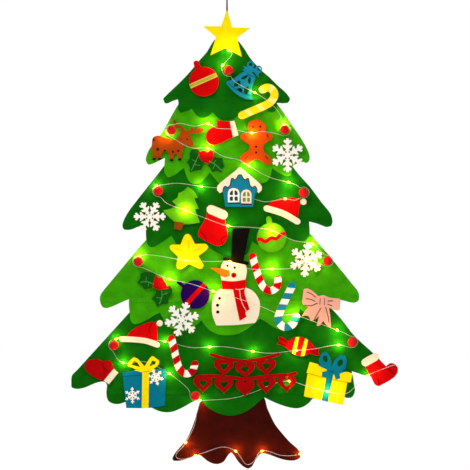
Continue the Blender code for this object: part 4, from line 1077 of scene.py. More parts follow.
def even_line(points: Sequence[Vector], spacing: float, tightest: float) -> list[Vector]:
    """Reads a line at even steps and eases the bends that are too tight for it.

    Args:
        points: the line's points.
        spacing: the distance between the new points.
        tightest: the smallest radius that it may bend to.

    Returns:
        The new points, with both ends kept.
    """
    line = np.array([tuple(p) for p in points])
    for _ in range(30):
        steps = np.concatenate([[0.0], np.cumsum(np.linalg.norm(np.diff(line, axis=0), axis=1))])
        at = np.linspace(0.0, steps[-1], max(2, round(steps[-1] / spacing)) + 1)
        line = np.stack([np.interp(at, steps, line[:, k]) for k in range(3)], axis=1)
        first, second = line[1:-1] - line[:-2], line[2:] - line[1:-1]
        lengths = np.linalg.norm(first, axis=1) * np.linalg.norm(second, axis=1)
        turn = np.arccos(np.clip((first * second).sum(axis=1) / lengths, -1.0, 1.0))
        tight = (turn > spacing / tightest)[:, None]
        if not tight.any():
            break
        line[1:-1] = np.where(tight, eased(line), line[1:-1])
    return [Vector(p) for p in line.tolist()]


class Surface:
    """The front of everything laid down so far, for what is sewn or laid over it."""

    def __init__(self) -> None:
        """Starts with nothing laid down."""
        self.corners: list[Vector] = []
        self.faces: list[list[int]] = []
        self.tree: BVHTree | None = None

    def lay(self, piece: bpy.types.Object) -> None:
        """Adds a finished piece's faces.

        Args:
            piece: the piece.
        """
        first = len(self.corners)
        self.corners += [corner.co.copy() for corner in piece.data.vertices]
        self.faces += [[first + v for v in face.vertices] for face in piece.data.polygons]
        self.tree = None

    def hit(self, x: float, z: float, from_back: bool = False) -> float | None:
        """The first surface met along y.

        Args:
            x: where the ray runs.
            z: where the ray runs.
            from_back: whether it comes from behind the tree.

        Returns:
            The surface's y, or None where there is none.
        """
        if self.tree is None:
            self.tree = BVHTree.FromPolygons(self.corners, self.faces)
        way = -1.0 if from_back else 1.0
        found = self.tree.ray_cast(Vector((x, -FAR * way, z)), Vector((0.0, way, 0.0)))
        return None if found[0] is None else found[0].y


@dataclass(frozen=True)
class Tier:
    """One felt tier: flat at the top, and bent forward over the strip tucked behind its hem.

    Attributes:
        node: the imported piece.
        finish: its felt.
        thread: the thread of the seam across it.
        bend_px: the two heights between which it bends, or None for the trunk.
        seam_px: the height of the seam that holds the next tier's strip.
        phase: sets its slight waves apart from the other tiers'.
        felt: its thickness.
        rise: how far its hem stands forward.
        rim: the radius of its edges.
        wave: the height of its slight waves.
        groove: how deep the seam pulls it in.
        groove_width: how wide that groove is.
        grid: the distance between the cuts that let it bend.
        seam_grid: the same in the groove.
        bend_cuts: how many cuts the bend has.
        seam_places: how many places of the seam are looked up.
        stitch_pitch: the distance from one stitch to the next.
        stitch: a stitch's length.
        thread_width: a stitch's width.
    """

    node: str
    finish: Felt
    thread: Thread | None
    bend_px: Point | None
    seam_px: float
    phase: float
    felt: float = 0.002
    rise: float = 0.0023
    rim: float = 0.0007
    wave: float = 0.00035
    groove: float = 0.0006
    groove_width: float = 0.0016
    grid: float = 0.024
    seam_grid: float = 0.0007
    bend_cuts: int = 8
    seam_places: int = 300
    stitch_pitch: float = 0.0048
    stitch: float = 0.0034
    thread_width: float = 0.00068

    def lift(self, x: float, z: float, front: bool) -> float:
        """How far a point of the tier stands forward of its flat place.

        Args:
            x: the point's place.
            z: the point's place.
            front: whether it lies on the front face.

        Returns:
            The distance towards the front, in metres.
        """
        waves = math.sin(31.0 * x + self.phase) + math.sin(43.0 * z - 19.0 * x + 2.3 * self.phase)
        forward = self.wave * waves
        if self.bend_px is None:
            return forward
        top, foot = (place(0.0, py)[1] for py in self.bend_px)
        share = min(max((top - z) / (top - foot), 0.0), 1.0)
        forward += self.rise * share * share * (3 - 2 * share)
        if front:
            away = (z - place(0.0, self.seam_px)[1]) / self.groove_width
            forward -= self.groove * math.exp(-away * away)
        return forward

    def build(self, frame: dict) -> bpy.types.Object:
        """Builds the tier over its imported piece.

        Args:
            frame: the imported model.

        Returns:
            The felt tier.
        """
        low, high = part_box(self.node)
        back = FELT_BACK_Y
        loops = [soften(loop, 0.001, 0.003) for loop in front_loops(frame["nodes"][self.node])]
        piece = Plate(self.node + "_felt", loops, back - self.felt, back, self.finish, self.rim).build()
        work = bmesh.new()
        work.from_mesh(piece.data)
        heights = [low[2] + self.grid * k for k in range(1, int((high[2] - low[2]) / self.grid) + 1)]
        if self.bend_px is not None:
            top, foot = (place(0.0, py)[1] for py in self.bend_px)
            seam = place(0.0, self.seam_px)[1]
            heights += [foot + (top - foot) * k / self.bend_cuts for k in range(self.bend_cuts + 1)]
            heights += [seam + step * self.seam_grid for step in range(-4, 5)]
        sides = [low[0] + self.grid * k for k in range(1, int((high[0] - low[0]) / self.grid) + 1)]
        cuts = [((0.0, 0.0, z), (0.0, 0.0, 1.0)) for z in heights]
        cuts += [((x, 0.0, 0.0), (1.0, 0.0, 0.0)) for x in sides]
        for point, normal in cuts:
            everything = [*work.verts, *work.edges, *work.faces]
            bmesh.ops.bisect_plane(work, geom=everything, dist=1e-6, plane_co=point, plane_no=normal)
        for corner in work.verts:
            front = corner.co.y < back - self.felt * 0.6
            corner.co.y -= self.lift(corner.co.x, corner.co.z, front)
        work.to_mesh(piece.data)
        work.free()
        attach(piece, TREE_BODY)
        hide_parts(self.node)
        return piece

    def seam(self, felt: bpy.types.Object) -> bpy.types.Object:
        """Sews the row of stitches across the tier.

        Args:
            felt: the finished tier, for the stitches to lie on.

        Returns:
            The stitches as one piece.
        """
        low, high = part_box(self.node)
        z = place(0.0, self.seam_px)[1]
        surface = Surface()
        surface.lay(felt)
        runs: list[list[Vector]] = [[]]
        for k in range(self.seam_places):
            x = low[0] + (high[0] - low[0]) * (k + 0.5) / self.seam_places
            y = surface.hit(x, z)
            if y is None and runs[-1]:
                runs.append([])
            elif y is not None:
                runs[-1].append(Vector((x, y - 0.00005, z + 0.0002 * math.sin(x * 90.0))))
        runs = [run[1:-1] for run in runs if len(run) > 6]
        tree = GeometryTree(self.node + "_stitching", {"Pitch": self.stitch_pitch, "Stitch": self.stitch,
                                                       "Thread": self.thread_width})
        tangent = tree.add("GeometryNodeInputTangent")
        turn = tree.add("FunctionNodeAlignRotationToVector", {"Vector": tangent.outputs[0]}, axis="X")
        sewn = tree.add("GeometryNodeInstanceOnPoints",
                        {"Points": tree.spaced("Pitch"), "Rotation": turn.outputs[0],
                         "Instance": tree.bead(8, 5, "Stitch", "Thread", "Thread")})
        tree.end(sewn.outputs[0], self.thread)
        piece = tree.grow(self.node + "_stitches", line_host(*runs))
        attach(piece, TREE_BODY)
        return piece


TIERS = (
    Tier("tier_1", DARK_GREEN, GREEN_THREAD, (96.5, 101.0), 101.8, 0.4),
    Tier("tier_2", BRIGHT_GREEN, LIME_THREAD, (154.0, 159.0), 160.0, 1.7),
    Tier("tier_3", DARK_GREEN, GREEN_THREAD, (220.0, 225.0), 225.8, 3.1),
    Tier("tier_4", BRIGHT_GREEN, LIME_THREAD, (297.0, 302.0), 302.8, 4.4),
    Tier("tier_5", DARK_GREEN, GREEN_THREAD, (389.5, 394.5), 395.4, 5.2),
    Tier("trunk", TRUNK_BROWN, None, None, 0.0, 2.6))


class Layer(Enum):
    """How a coloured part of an ornament is made."""

    THROUGH = "its own felt through the whole thickness"
    ON_TOP = "thin felt glued on top"
    DRAWN = "a thin raised line or mark"


@dataclass(frozen=True)
class Patch:
    """A coloured part of an ornament.

    Attributes:
        finish: its felt.
        shapes: what it covers, before the ornament's outline trims it.
        layer: how it is made.
        level: how many glued layers lie under it.
        cuts: shapes cut from it.
    """

    finish: Finish
    shapes: tuple[Shape, ...]
    layer: Layer = Layer.ON_TOP
    level: int = 0
    cuts: tuple[Shape, ...] = ()


def bands(route: tuple[Point, ...], width: float, pitch: float, length: float, start: float,
          slant: float) -> tuple[Shape, ...]:
    """The slanting bands of a candy cane.

    Args:
        route: the cane's middle line, in pixels.
        width: the cane's width.
        pitch: the distance from one band to the next.
        length: a band's length along the cane.
        start: where the first band begins.
        slant: how far a band's far side runs ahead.

    Returns:
        One outline for each band.
    """
    line = smooth_route(route, 0.5)
    steps = [0.0]
    for a, b in zip(line, line[1:]):
        steps.append(steps[-1] + (b - a).length)

    def side(at: float, across: float) -> Point:
        """A point beside the middle line."""
        i = min(max(int(np.searchsorted(steps, at)), 1), len(line) - 1)
        way = (line[i] - line[i - 1]).normalized()
        spot = line[i - 1] + way * (at - steps[i - 1])
        return (spot.x - way.y * across, spot.y + way.x * across)

    reach = width * 0.7
    made = []
    at = start
    while at < steps[-1] + reach:
        left = [side(at + length * k / 4 + slant, reach) for k in range(5)]
        right = [side(at + length * k / 4 - slant, -reach) for k in range(5)]
        made.append(Poly(tuple([*left, *reversed(right)])))
        at += pitch
    return tuple(made)


def flake(centre: Point, radius: float, turn: float) -> Poly:
    """Draws a small six-armed snowflake.

    Args:
        centre: its middle, in pixels.
        radius: the length of an arm.
        turn: the first arm's angle, in degrees.

    Returns:
        The snowflake's outline.
    """
    outline = []
    for arm in range(6):
        a = math.radians(turn) + math.pi * arm / 3
        along, across = Vector((math.cos(a), math.sin(a))), Vector((-math.sin(a), math.cos(a)))
        side = [(0.3, 0.07), (0.42, 0.22), (0.52, 0.24), (0.5, 0.07), (0.62, 0.07), (0.74, 0.2), (0.84, 0.19),
                (0.8, 0.07), (0.98, 0.06)]
        points = [along * u * radius - across * v * radius for u, v in side]
        points += [along * u * radius + across * v * radius for u, v in reversed(side)]
        valley = Vector((math.cos(a + math.pi / 6), math.sin(a + math.pi / 6))) * radius * 0.2
        outline += [(centre[0] + p.x, centre[1] + p.y) for p in (*points, valley)]
    return Poly(tuple(outline))


def ring(centre: Point, radius: float, count: int, size: float, turn: float) -> tuple[Shape, ...]:
    """Small discs spaced evenly round a centre."""
    return tuple(Disc(spot, size) for spot in circle(centre, radius, count, turn=turn))


@dataclass(frozen=True)
class Ornament:
    """A felt ornament with a dot of hook tape on its back.

    Attributes:
        node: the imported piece.
        finish: its main felt.
        dot_px: where its dot of hook tape is sewn on.
        patches: its other colours.
        cuts: small holes through its main felt.
        loose: whether it has a body of its own and pulls off.
    """

    node: str
    finish: Finish
    dot_px: Point
    patches: tuple[Patch, ...] = ()
    cuts: tuple[Shape, ...] = ()
    loose: bool = False

    def build(self, frame: dict) -> list[bpy.types.Object]:
        """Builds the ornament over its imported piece.

        Args:
            frame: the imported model.

        Returns:
            Its pieces: the main felt first, then each colour and the hook dot.
        """
        low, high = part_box(self.node)
        outline = front_loops(frame["nodes"][self.node])
        through = [p for p in self.patches if p.layer is Layer.THROUGH]
        glued = any(p.layer is Layer.ON_TOP for p in self.patches)
        front = low[1] + (TOP_LAYER if glued else 0.0)
        back = low[1] + ORNAMENT_FELT
        gone = [in_metres(s) for p in through for s in p.shapes] + [in_metres(s) for s in self.cuts]
        body = combine(outline, gone, outline)
        pieces = [Plate(self.node + "_felt", [soften(loop) for loop in body], front, back, self.finish).build()]
        for number, patch in enumerate(self.patches, 1):
            cuts = [in_metres(s) for s in patch.cuts]
            loops = combine([in_metres(s) for s in patch.shapes], cuts, outline)
            lift = patch.level * TOP_LAYER
            thick, rim = (DRAWN_LAYER, 0.0002) if patch.layer is Layer.DRAWN else (TOP_LAYER, 0.0004)
            span = (front - thick - lift, front + LAYER_OVERLAP - lift)
            if patch.layer is Layer.THROUGH:
                span = (front - (TOP_LAYER - THROUGH_SINK if glued else 0.0), back)
            name = f"{self.node}_part_{number}"
            pieces.append(Plate(name, [soften(loop, 0.0004, 0.0015) for loop in loops], *span, patch.finish,
                                rim).build())
        dot = circle(place(*self.dot_px), HOOK_DOT_RADIUS, 28)
        pieces.append(Plate(self.node + "_hook_dot", [dot], back - HOOK_DOT_SINK, high[1], HOOK_TAPE,
                            0.0003).build())
        for piece in pieces:
            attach(piece, self.node if self.loose else TREE_BODY)
        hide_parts(self.node)
        return pieces


CANE_YELLOW_PX = ((241.8, 115.8), (252, 111.4), (263, 106.8), (270.6, 102.4), (274.4, 96), (272.6, 90.4),
                  (267.6, 88), (262.6, 90))
CANE_RED_MID_PX = ((252.6, 256.4), (255.4, 267), (259.4, 279), (263.6, 287), (270, 290.6), (276.6, 287),
                   (278, 279))
CANE_BLUE_PX = ((292, 285.6), (286.6, 297), (280.6, 309.6), (278, 318.6), (280.6, 324.6), (285.6, 326.8),
                (292, 324.2), (296.4, 316.4))
CANE_RED_LEFT_PX = ((171.6, 338), (174.2, 348), (176.8, 360), (180.4, 369.6), (186, 373.4), (192, 371.2),
                    (195.2, 363.4))
ROOF_PX = (
    (219.5, 193.8), (223, 191), (223.6, 188), (225, 186.3), (228, 187.6), (230, 185.5), (231, 181),
    (231.6, 178.6), (233, 178.4), (234, 179.6), (235.6, 179.8), (237, 178), (238.4, 175.4), (240, 174.8),
    (241.6, 175.4), (243, 178), (244.4, 179.8), (246, 179.6), (247, 178.4), (248.4, 178.6), (249, 181),
    (250, 185.5), (252, 187.6), (255, 186.3), (256.4, 188), (257, 191), (259, 193.8), (268, 196), (268, 180),
    (240, 160), (212, 180), (212, 196))
ROOF_EDGE_PX = ROOF_PX[1:26]

ORNAMENTS = (
    Ornament("bell", BLUE, (239, 90), (
        Patch(LINE_BLUE, (Strip(((228.4, 83.6), (238.6, 91.6), (251.2, 96.4)), 0.7),
                          Strip(((247.2, 73.6), (250.4, 76.2), (254.6, 77)), 0.7)), Layer.DRAWN),),
             (Poly(((248.4, 75.2), (244.6, 76.2), (240.9, 78.8), (243.4, 80), (246.6, 78.2))),
              Poly(((249.4, 77), (250.7, 78), (250.4, 84), (248.6, 84), (247.8, 80.6))),
              Poly(((239.2, 80.6), (240.2, 83.2), (237.9, 86.6), (234.3, 87.3), (233.7, 85), (236.4, 82.2))),
              Poly(((236.4, 89.2), (240.4, 88.2), (242.4, 90.6), (242.4, 93.1), (239.8, 91.9))),
              Poly(((244.4, 88.9), (248.8, 86.2), (248.4, 90.6), (247.6, 94.2), (245.2, 94.6), (243.9, 92))))),
    Ornament("mitten_top", RED, (217, 136), (
        Patch(CREAM, (Poly(((229.2, 119), (236, 117.6), (241, 137), (233.4, 139.4))),), Layer.THROUGH),
        Patch(LINE_DEEP_RED, (Strip(((214, 128), (221, 128), (228.4, 130)), 0.9),), Layer.DRAWN))),
    Ornament("gingerbread", GINGER, (256, 152), (
        Patch(LINE_DARK, (Disc((252.9, 127.3), 1.15), Disc((260.2, 127), 1.15), Disc((256, 147), 1.1),
                          Disc((256, 152.8), 1.1), Strip(((253, 131), (256.6, 132.4), (260.2, 130.6)), 0.7),
                          Strip(((244.4, 135), (246, 137.6)), 0.8), Strip(((266.8, 134.8), (268, 137.4)), 0.8),
                          Strip(((247.4, 157), (245, 159.4)), 0.8), Strip(((265.4, 156.8), (267.6, 159.2)), 0.8)),
              Layer.DRAWN),)),
    Ornament("reindeer", FAWN, (165, 145.5), (
        Patch(LINE_DARK, (Disc((158, 149.5), 1.4), Disc((165, 151.2), 1.2), Disc((173, 152), 1.2),
                          Disc((178.4, 151), 1.1), Disc((187.4, 139.6), 0.8),
                          Strip(((150.6, 135), (153.4, 138), (154, 141)), 1.5),
                          Strip(((153, 159.4), (157, 159.4)), 2.4), Strip(((158.6, 159.4), (161.8, 159.2)), 2.4),
                          Strip(((170.2, 160.4), (173.4, 160.4)), 2.2),
                          Strip(((178.4, 159.6), (181.6, 159.6)), 2.2)), Layer.DRAWN),)),
    Ornament("holly_top", HOLLY_GREEN, (197, 162), (
        Patch(DEEP_RED, (Poly(((198.4, 152.8), (201.6, 149), (206, 149.2), (207.2, 151), (210.4, 148.2),
                               (214.8, 150.2), (215.2, 155.6), (211.8, 160.6), (207.4, 165.6),
                               (202.6, 161.4), (199.4, 157.4))),),
              Layer.THROUGH),
        Patch(LINE_LEAF, (Strip(((191.6, 170.4), (195.6, 162), (199, 155)), 0.8),
                          Strip(((196.6, 162), (192.4, 160)), 0.6), Strip(((195, 165), (200, 165.6)), 0.6),
                          Strip(((209.6, 161.6), (215.6, 165), (221.4, 170.6)), 0.8),
                          Strip(((213.4, 163.6), (216, 160.4)), 0.6), Strip(((215, 165), (213, 169)), 0.6)),
              Layer.DRAWN))),
    Ornament("fir_small", LEAF_GREEN, (184, 217.6), (
        Patch(TREE_BARK, (Poly(((173.4, 222), (176, 221.6), (183.6, 222.8), (183.8, 224.8), (182, 232),
                                (172, 231))),), Layer.THROUGH),)),
    Ornament("stocking_mid", RED, (214, 231), (
        Patch(CREAM, (Strip(((211, 209.6), (223.4, 214.8)), 9.2),)),
        Patch(LINE_DEEP_RED, (Strip(((201, 232), (205, 236.4), (206.6, 241)), 0.8),
                              Strip(((222.6, 244), (221.4, 239), (227, 235.6)), 0.8)), Layer.DRAWN))),
    Ornament("hat_right", RED, (287, 208.6), (
        Patch(CREAM, (Strip(((266.4, 208.4), (283, 213.6), (297.4, 221.6)), 6.2),)),
        Patch(CREAM, (Disc((303.4, 201.9), 3.3),), Layer.THROUGH),
        Patch(LINE_DEEP_RED, (Strip(((296.4, 200.4), (292, 205), (291, 210)), 0.8),), Layer.DRAWN))),
    Ornament("ball_green", LEAF_GREEN, (271.5, 244), (
        Patch(RED, (Strip(((254, 241.6), (260, 239), (265, 241.6), (271, 238), (276, 238.6), (281, 234.6),
                           (289, 233)), 3.8),)),)),
    Ornament("star_yellow", YELLOW, (188.6, 251.4), (
        Patch(LINE_GOLD, (Strip(((189, 252.6), (188.8, 241)), 0.6), Strip(((189, 252.6), (200.6, 248.4)), 0.6),
                          Strip(((189, 252.6), (197.4, 263)), 0.6), Strip(((189, 252.6), (181.6, 263.4)), 0.6),
                          Strip(((189, 252.6), (176.6, 249)), 0.6)), Layer.DRAWN),)),
    Ornament("snowman", CREAM, (232, 314), (
        Patch(BLACK, (Poly(((230, 226), (252, 226), (243.8, 261.4), (230.6, 258.8))),
                      Strip(((224.6, 258.8), (247.4, 263.2)), 3.6)), Layer.THROUGH),
        Patch(ORANGE, (Poly(((208, 266.4), (222, 268.2), (229.6, 270.2), (229.8, 275.4), (225.6, 277.2),
                             (218, 274.6))),), Layer.THROUGH),
        Patch(RED, (Poly(((217, 279.8), (233, 281.2), (249, 279), (249.4, 287), (234, 289.4), (217, 288.6))),
                    Poly(((233.6, 286), (245, 286), (244.6, 293), (249.6, 309), (244, 313), (239.6, 304.4))),
                    Poly(((232.6, 287), (239, 287), (241.4, 296), (246.4, 316.6), (239.6, 320.6),
                          (235.4, 301))))),
        Patch(LINE_PALE, (Strip(((239.4, 289), (241.4, 301), (246.6, 311.4)), 0.8),
                          Strip(((235.6, 288.8), (238.6, 289.4), (243.6, 288.4)), 0.7)), Layer.DRAWN, 1),
        Patch(BLACK, (Disc((227.5, 265.5), 1.5), Disc((234.6, 267.4), 1.5), Disc((219.5, 298), 1.6),
                      Disc((217.6, 305), 1.6), Disc((217.8, 311.8), 1.6)), Layer.DRAWN),
        Patch(RED, (Disc((233.8, 275), 2.7),), Layer.DRAWN),
        Patch(LINE_DARK, (Disc((233.8, 275), 1.3),), Layer.DRAWN, 1))),
    Ornament("cane_red_mid", WHITE, (258.4, 276.4), (
        Patch(RED, bands(CANE_RED_MID_PX, 7.4, 12.6, 6.2, -4.4, 1.8)),)),
    Ornament("snowflake_3", WHITE, (306, 260), (), ring((306, 260), 3.6, 6, 0.85, 6)),
    Ornament("holly_left", HOLLY_GREEN, (161, 295.4), (
        Patch(DEEP_RED, (Poly(((156.2, 274.6), (163, 274.6), (168, 283), (169.4, 288), (160, 289.8), (152.4, 288.6),
                          (153.6, 281.6))),), Layer.THROUGH),
        Patch(LINE_LEAF, (Strip(((140.6, 282), (147, 281.6), (153.6, 284)), 0.8),
                          Strip(((146, 281.6), (146.6, 276.6)), 0.6), Strip(((149, 282.4), (148.4, 286.4)), 0.6),
                          Strip(((162, 290.6), (162, 297), (159.6, 303.6)), 0.8),
                          Strip(((162, 295), (167.4, 293)), 0.6), Strip(((161.8, 298), (156.8, 297.4)), 0.6)),
              Layer.DRAWN))),
    Ornament("ball_purple", NAVY, (195, 299), (
        Patch(RED, (Strip(((184, 306.4), (196, 293.4), (208, 280.6)), 4.6),)),)),
    Ornament("cane_blue", WHITE, (283.8, 302.6), (
        Patch(BLUE, bands(CANE_BLUE_PX, 7.6, 12.4, 6.4, -4.2, 2.0)),)),
    Ornament("bow_pink", PINK, (321.6, 304), (
        Patch(PINK, (Poly(((318.6, 296.6), (325.4, 295.6), (327, 300), (326.6, 306.4), (321, 307.6),
                           (317.4, 303.4))),)),
        Patch(LINE_PINK, (Strip(((307, 292), (311, 293.6), (315.4, 297)), 0.9),
                          Strip(((306, 298.6), (310, 299), (314.6, 301)), 0.9),
                          Strip(((303.6, 305), (311, 305.4), (317, 303)), 1.0),
                          Strip(((320.6, 308), (317.6, 313), (314, 319.4)), 0.9),
                          Strip(((325.4, 307.4), (327.6, 315), (328.8, 322)), 0.9),
                          Strip(((327.6, 304), (331.6, 305.6)), 0.9), Strip(((327.8, 300.8), (332.4, 300.6)), 0.9)),
              Layer.DRAWN),
        Patch(LINE_PINK, (Strip(((320, 298.4), (319.6, 304)), 0.7), Strip(((324, 298), (324.2, 304.6)), 0.7)),
              Layer.DRAWN, 1))),
    Ornament("candy", DEEP_RED, (300, 343.6), (
        Patch(CANE_YELLOW, (Strip(((298, 334), (293, 356)), 3.4), Strip(((307, 336.4), (302, 357.4)), 3.4))),
        Patch(LINE_DEEP_RED, (Strip(((280, 338), (287.6, 343.4)), 0.8), Strip(((279, 343), (287.6, 345.6)), 0.8),
                              Strip(((312.4, 348), (318, 350.4)), 0.8), Strip(((311.4, 350.4), (317.4, 354)), 0.8)),
              Layer.DRAWN))),
    Ornament("gift_yellow", YELLOW, (316, 384), (
        Patch(GIFT_BLUE, (Poly(((330.6, 371), (318.4, 365.4), (316.8, 359), (320.4, 351), (326.4, 349.6),
                                (330.4, 354), (332, 361.4))),
                          Poly(((330, 370), (333, 358.6), (340, 352.8), (346.6, 353.4), (348.8, 361),
                                (346.8, 370.8), (337.4, 374)))), Layer.THROUGH, 0,
              (Disc((325.2, 358.4), 2.3, 1.5, -16), Disc((340, 362.6), 2.6, 1.4, 24))),
        Patch(GIFT_BLUE, (Strip(((331, 368), (327.6, 386), (323.4, 406)), 6.2),
                          Poly(((327.6, 365.4), (336, 367.4), (334.6, 374.4), (326, 372.6))),
                          Poly(((328.6, 370), (326, 377.4), (321.6, 376.4), (322, 371.6))),
                          Poly(((333, 371), (335.6, 379.4), (340, 378), (339.4, 373.6))))),
        Patch(LINE_GOLD, (Strip(((307.8, 373), (328, 378.4), (348.4, 382.4)), 0.9),), Layer.DRAWN),
        Patch(LINE_BLUE, (Strip(((329.6, 370.6), (333.4, 371.6)), 1.2), Strip(((331.8, 374), (326.6, 400)), 0.6)),
              Layer.DRAWN, 1))),
    Ornament("stocking_right", RED, (376.4, 365.4), (
        Patch(CREAM, (Strip(((364.8, 362.2), (375.2, 356.4)), 7.9),)),
        Patch(LINE_DEEP_RED, (Strip(((372, 378.4), (377, 377.6), (378.6, 383.4)), 0.8),
                              Strip(((390, 364.6), (389, 369.4), (394.6, 374)), 0.8)), Layer.DRAWN))),
    Ornament("ball_red", RED, (203.9, 82), (
        Patch(BAND_OLIVE, (Strip(((181, 90.8), (226.6, 70.8)), 4.4),)),
        Patch(BAND_GOLD, (Strip(((180.4, 89.2), (226, 69.2)), 0.7), Strip(((181.6, 92.4), (227.2, 72.4)), 0.7)),
              Layer.DRAWN, 1)), (), True),
    Ornament("cane_yellow", PALE_YELLOW, (254, 110.5), (
        Patch(CANE_YELLOW, bands(CANE_YELLOW_PX, 7.8, 12.8, 8.2, -3.0, 2.2)),), (), True),
    Ornament("snowflake_1", WHITE, (287.4, 155.4), (), ring((287.4, 155.4), 3.6, 6, 0.85, 0), True),
    Ornament("snowflake_2", WHITE, (149.8, 216.6), (), ring((149.8, 216.6), 3.4, 6, 0.8, 30), True),
    Ornament("snowflake_4", WHITE, (182, 319), (), ring((182, 319), 3.7, 6, 0.85, 16.5), True),
    Ornament("house", BLUE, (240, 182.6), (
        Patch(CREAM, (Poly(ROOF_PX),)),
        Patch(LINE_DARK, (Strip(ROOF_EDGE_PX, 0.9),), Layer.DRAWN, 1),
        Patch(WHITE, (Poly(((228, 202.6), (228, 192.6), (229.6, 189.6), (233.4, 188.2), (237.4, 189.2),
                            (239.4, 192.4), (239.4, 202.2))),)),
        Patch(CREAM, (Poly(((241.2, 203.2), (241, 194), (242.8, 190.8), (246.4, 189.6), (250, 190.8),
                            (251.4, 194.4), (251.2, 203.6))),)),
        Patch(WINDOW_DARK, (Poly(((229.8, 195.2), (230, 192.8), (231.4, 191), (232.9, 190.4), (232.9, 195.2))),
                            Poly(((234.6, 195.2), (234.6, 190.4), (236.4, 191), (237.6, 193), (237.7, 195.2))),
                            Poly(((229.8, 196.8), (232.9, 196.8), (232.9, 200.8), (229.8, 200.8))),
                            Poly(((234.6, 196.8), (237.7, 196.8), (237.7, 200.8), (234.6, 200.8)))),
              Layer.DRAWN, 1),
        Patch(WINDOW_OLIVE, (Poly(((242.8, 196.4), (243, 194.2), (244.2, 192.4), (245.6, 191.8), (245.6, 196.4))),
                             Poly(((247.2, 196.4), (247.2, 191.8), (248.8, 192.6), (249.7, 194.4), (249.7, 196.4))),
                             Poly(((242.8, 198), (245.6, 198), (245.6, 201.8), (242.8, 201.8))),
                             Poly(((247.2, 198), (249.7, 198), (249.7, 201.8), (247.2, 201.8)))),
              Layer.DRAWN, 1),
        Patch(LINE_DARK, (Strip(((227.6, 203.6), (239.8, 203.4)), 0.9), Strip(((241, 204.6), (251.6, 204.6)), 0.9)),
              Layer.DRAWN)), (), True),
    Ornament("hat_left", RED, (148, 329.4), (
        Patch(CREAM, (Strip(((120.4, 338.8), (134, 339.4), (146, 340.8), (159.4, 345)), 5.8),)),
        Patch(CREAM, (Disc((159.9, 323), 3.3),), Layer.THROUGH),
        Patch(LINE_DEEP_RED, (Strip(((153, 322.6), (149.6, 328), (150.6, 334)), 0.8),), Layer.DRAWN)), (), True),
    Ornament("cane_red_left", WHITE, (176, 356.6), (
        Patch(DEEP_RED, bands(CANE_RED_LEFT_PX, 7.2, 11.6, 6.4, -4.4, 2.0)),), (), True),
    Ornament("mitten_left", DEEP_RED, (99, 368.4), (
        Patch(CREAM, (Poly(((114, 368.4), (119.6, 372), (109.6, 386), (103.8, 380.6))),), Layer.THROUGH),
        Patch(LINE_DEEP_RED, (Strip(((103.4, 362), (104, 367), (108.6, 371)), 0.8),), Layer.DRAWN)), (), True),
    Ornament("gift_blue", GIFT_BLUE, (146, 383), (
        Patch(YELLOW, (Poly(((142.6, 372), (125.2, 367.2), (127, 360), (133.4, 354.4), (139.6, 356.4), (144.4, 363),
                             (149, 355.6), (153, 353), (162, 358.4), (161, 366.4), (150, 372)),),),
              Layer.THROUGH, 0, (Poly(((131.6, 364.4), (134, 360.8), (137, 361.8), (140.4, 366.8))),
                                 Poly(((149.6, 366), (152.4, 360.2), (155.8, 361.2), (155.6, 363.8))))),
        Patch(YELLOW, (Poly(((142.6, 367), (149.4, 366.6), (148.6, 410), (141.8, 410))),)),
        Patch(WHITE, (flake((155.6, 377), 8.4, 12), flake((132.6, 395), 8.4, 28))),
        Patch(LINE_GOLD, (Strip(((142.8, 371.4), (149.2, 371)), 0.9),), Layer.DRAWN, 1),
        Patch(LINE_BLUE, (Strip(((123, 376), (142, 374.6)), 0.7), Strip(((149.6, 374), (165.6, 372.8)), 0.7)),
              Layer.DRAWN)), (), True),
    Ornament("garland", GARLAND_RED, (245, 388), (), (), True))


@dataclass(frozen=True)
class TopStar:
    """The plain yellow star sewn on at the tip."""

    node: str = "top_star"

    def build(self, frame: dict) -> bpy.types.Object:
        """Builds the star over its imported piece.

        Args:
            frame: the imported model.

        Returns:
            The star.
        """
        low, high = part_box(self.node)
        loops = [soften(loop, 0.0012) for loop in front_loops(frame["nodes"][self.node])]
        piece = Plate(self.node + "_felt", loops, low[1], high[1], YELLOW, 0.0007).build()
        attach(piece, TREE_BODY)
        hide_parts(self.node)
        return piece


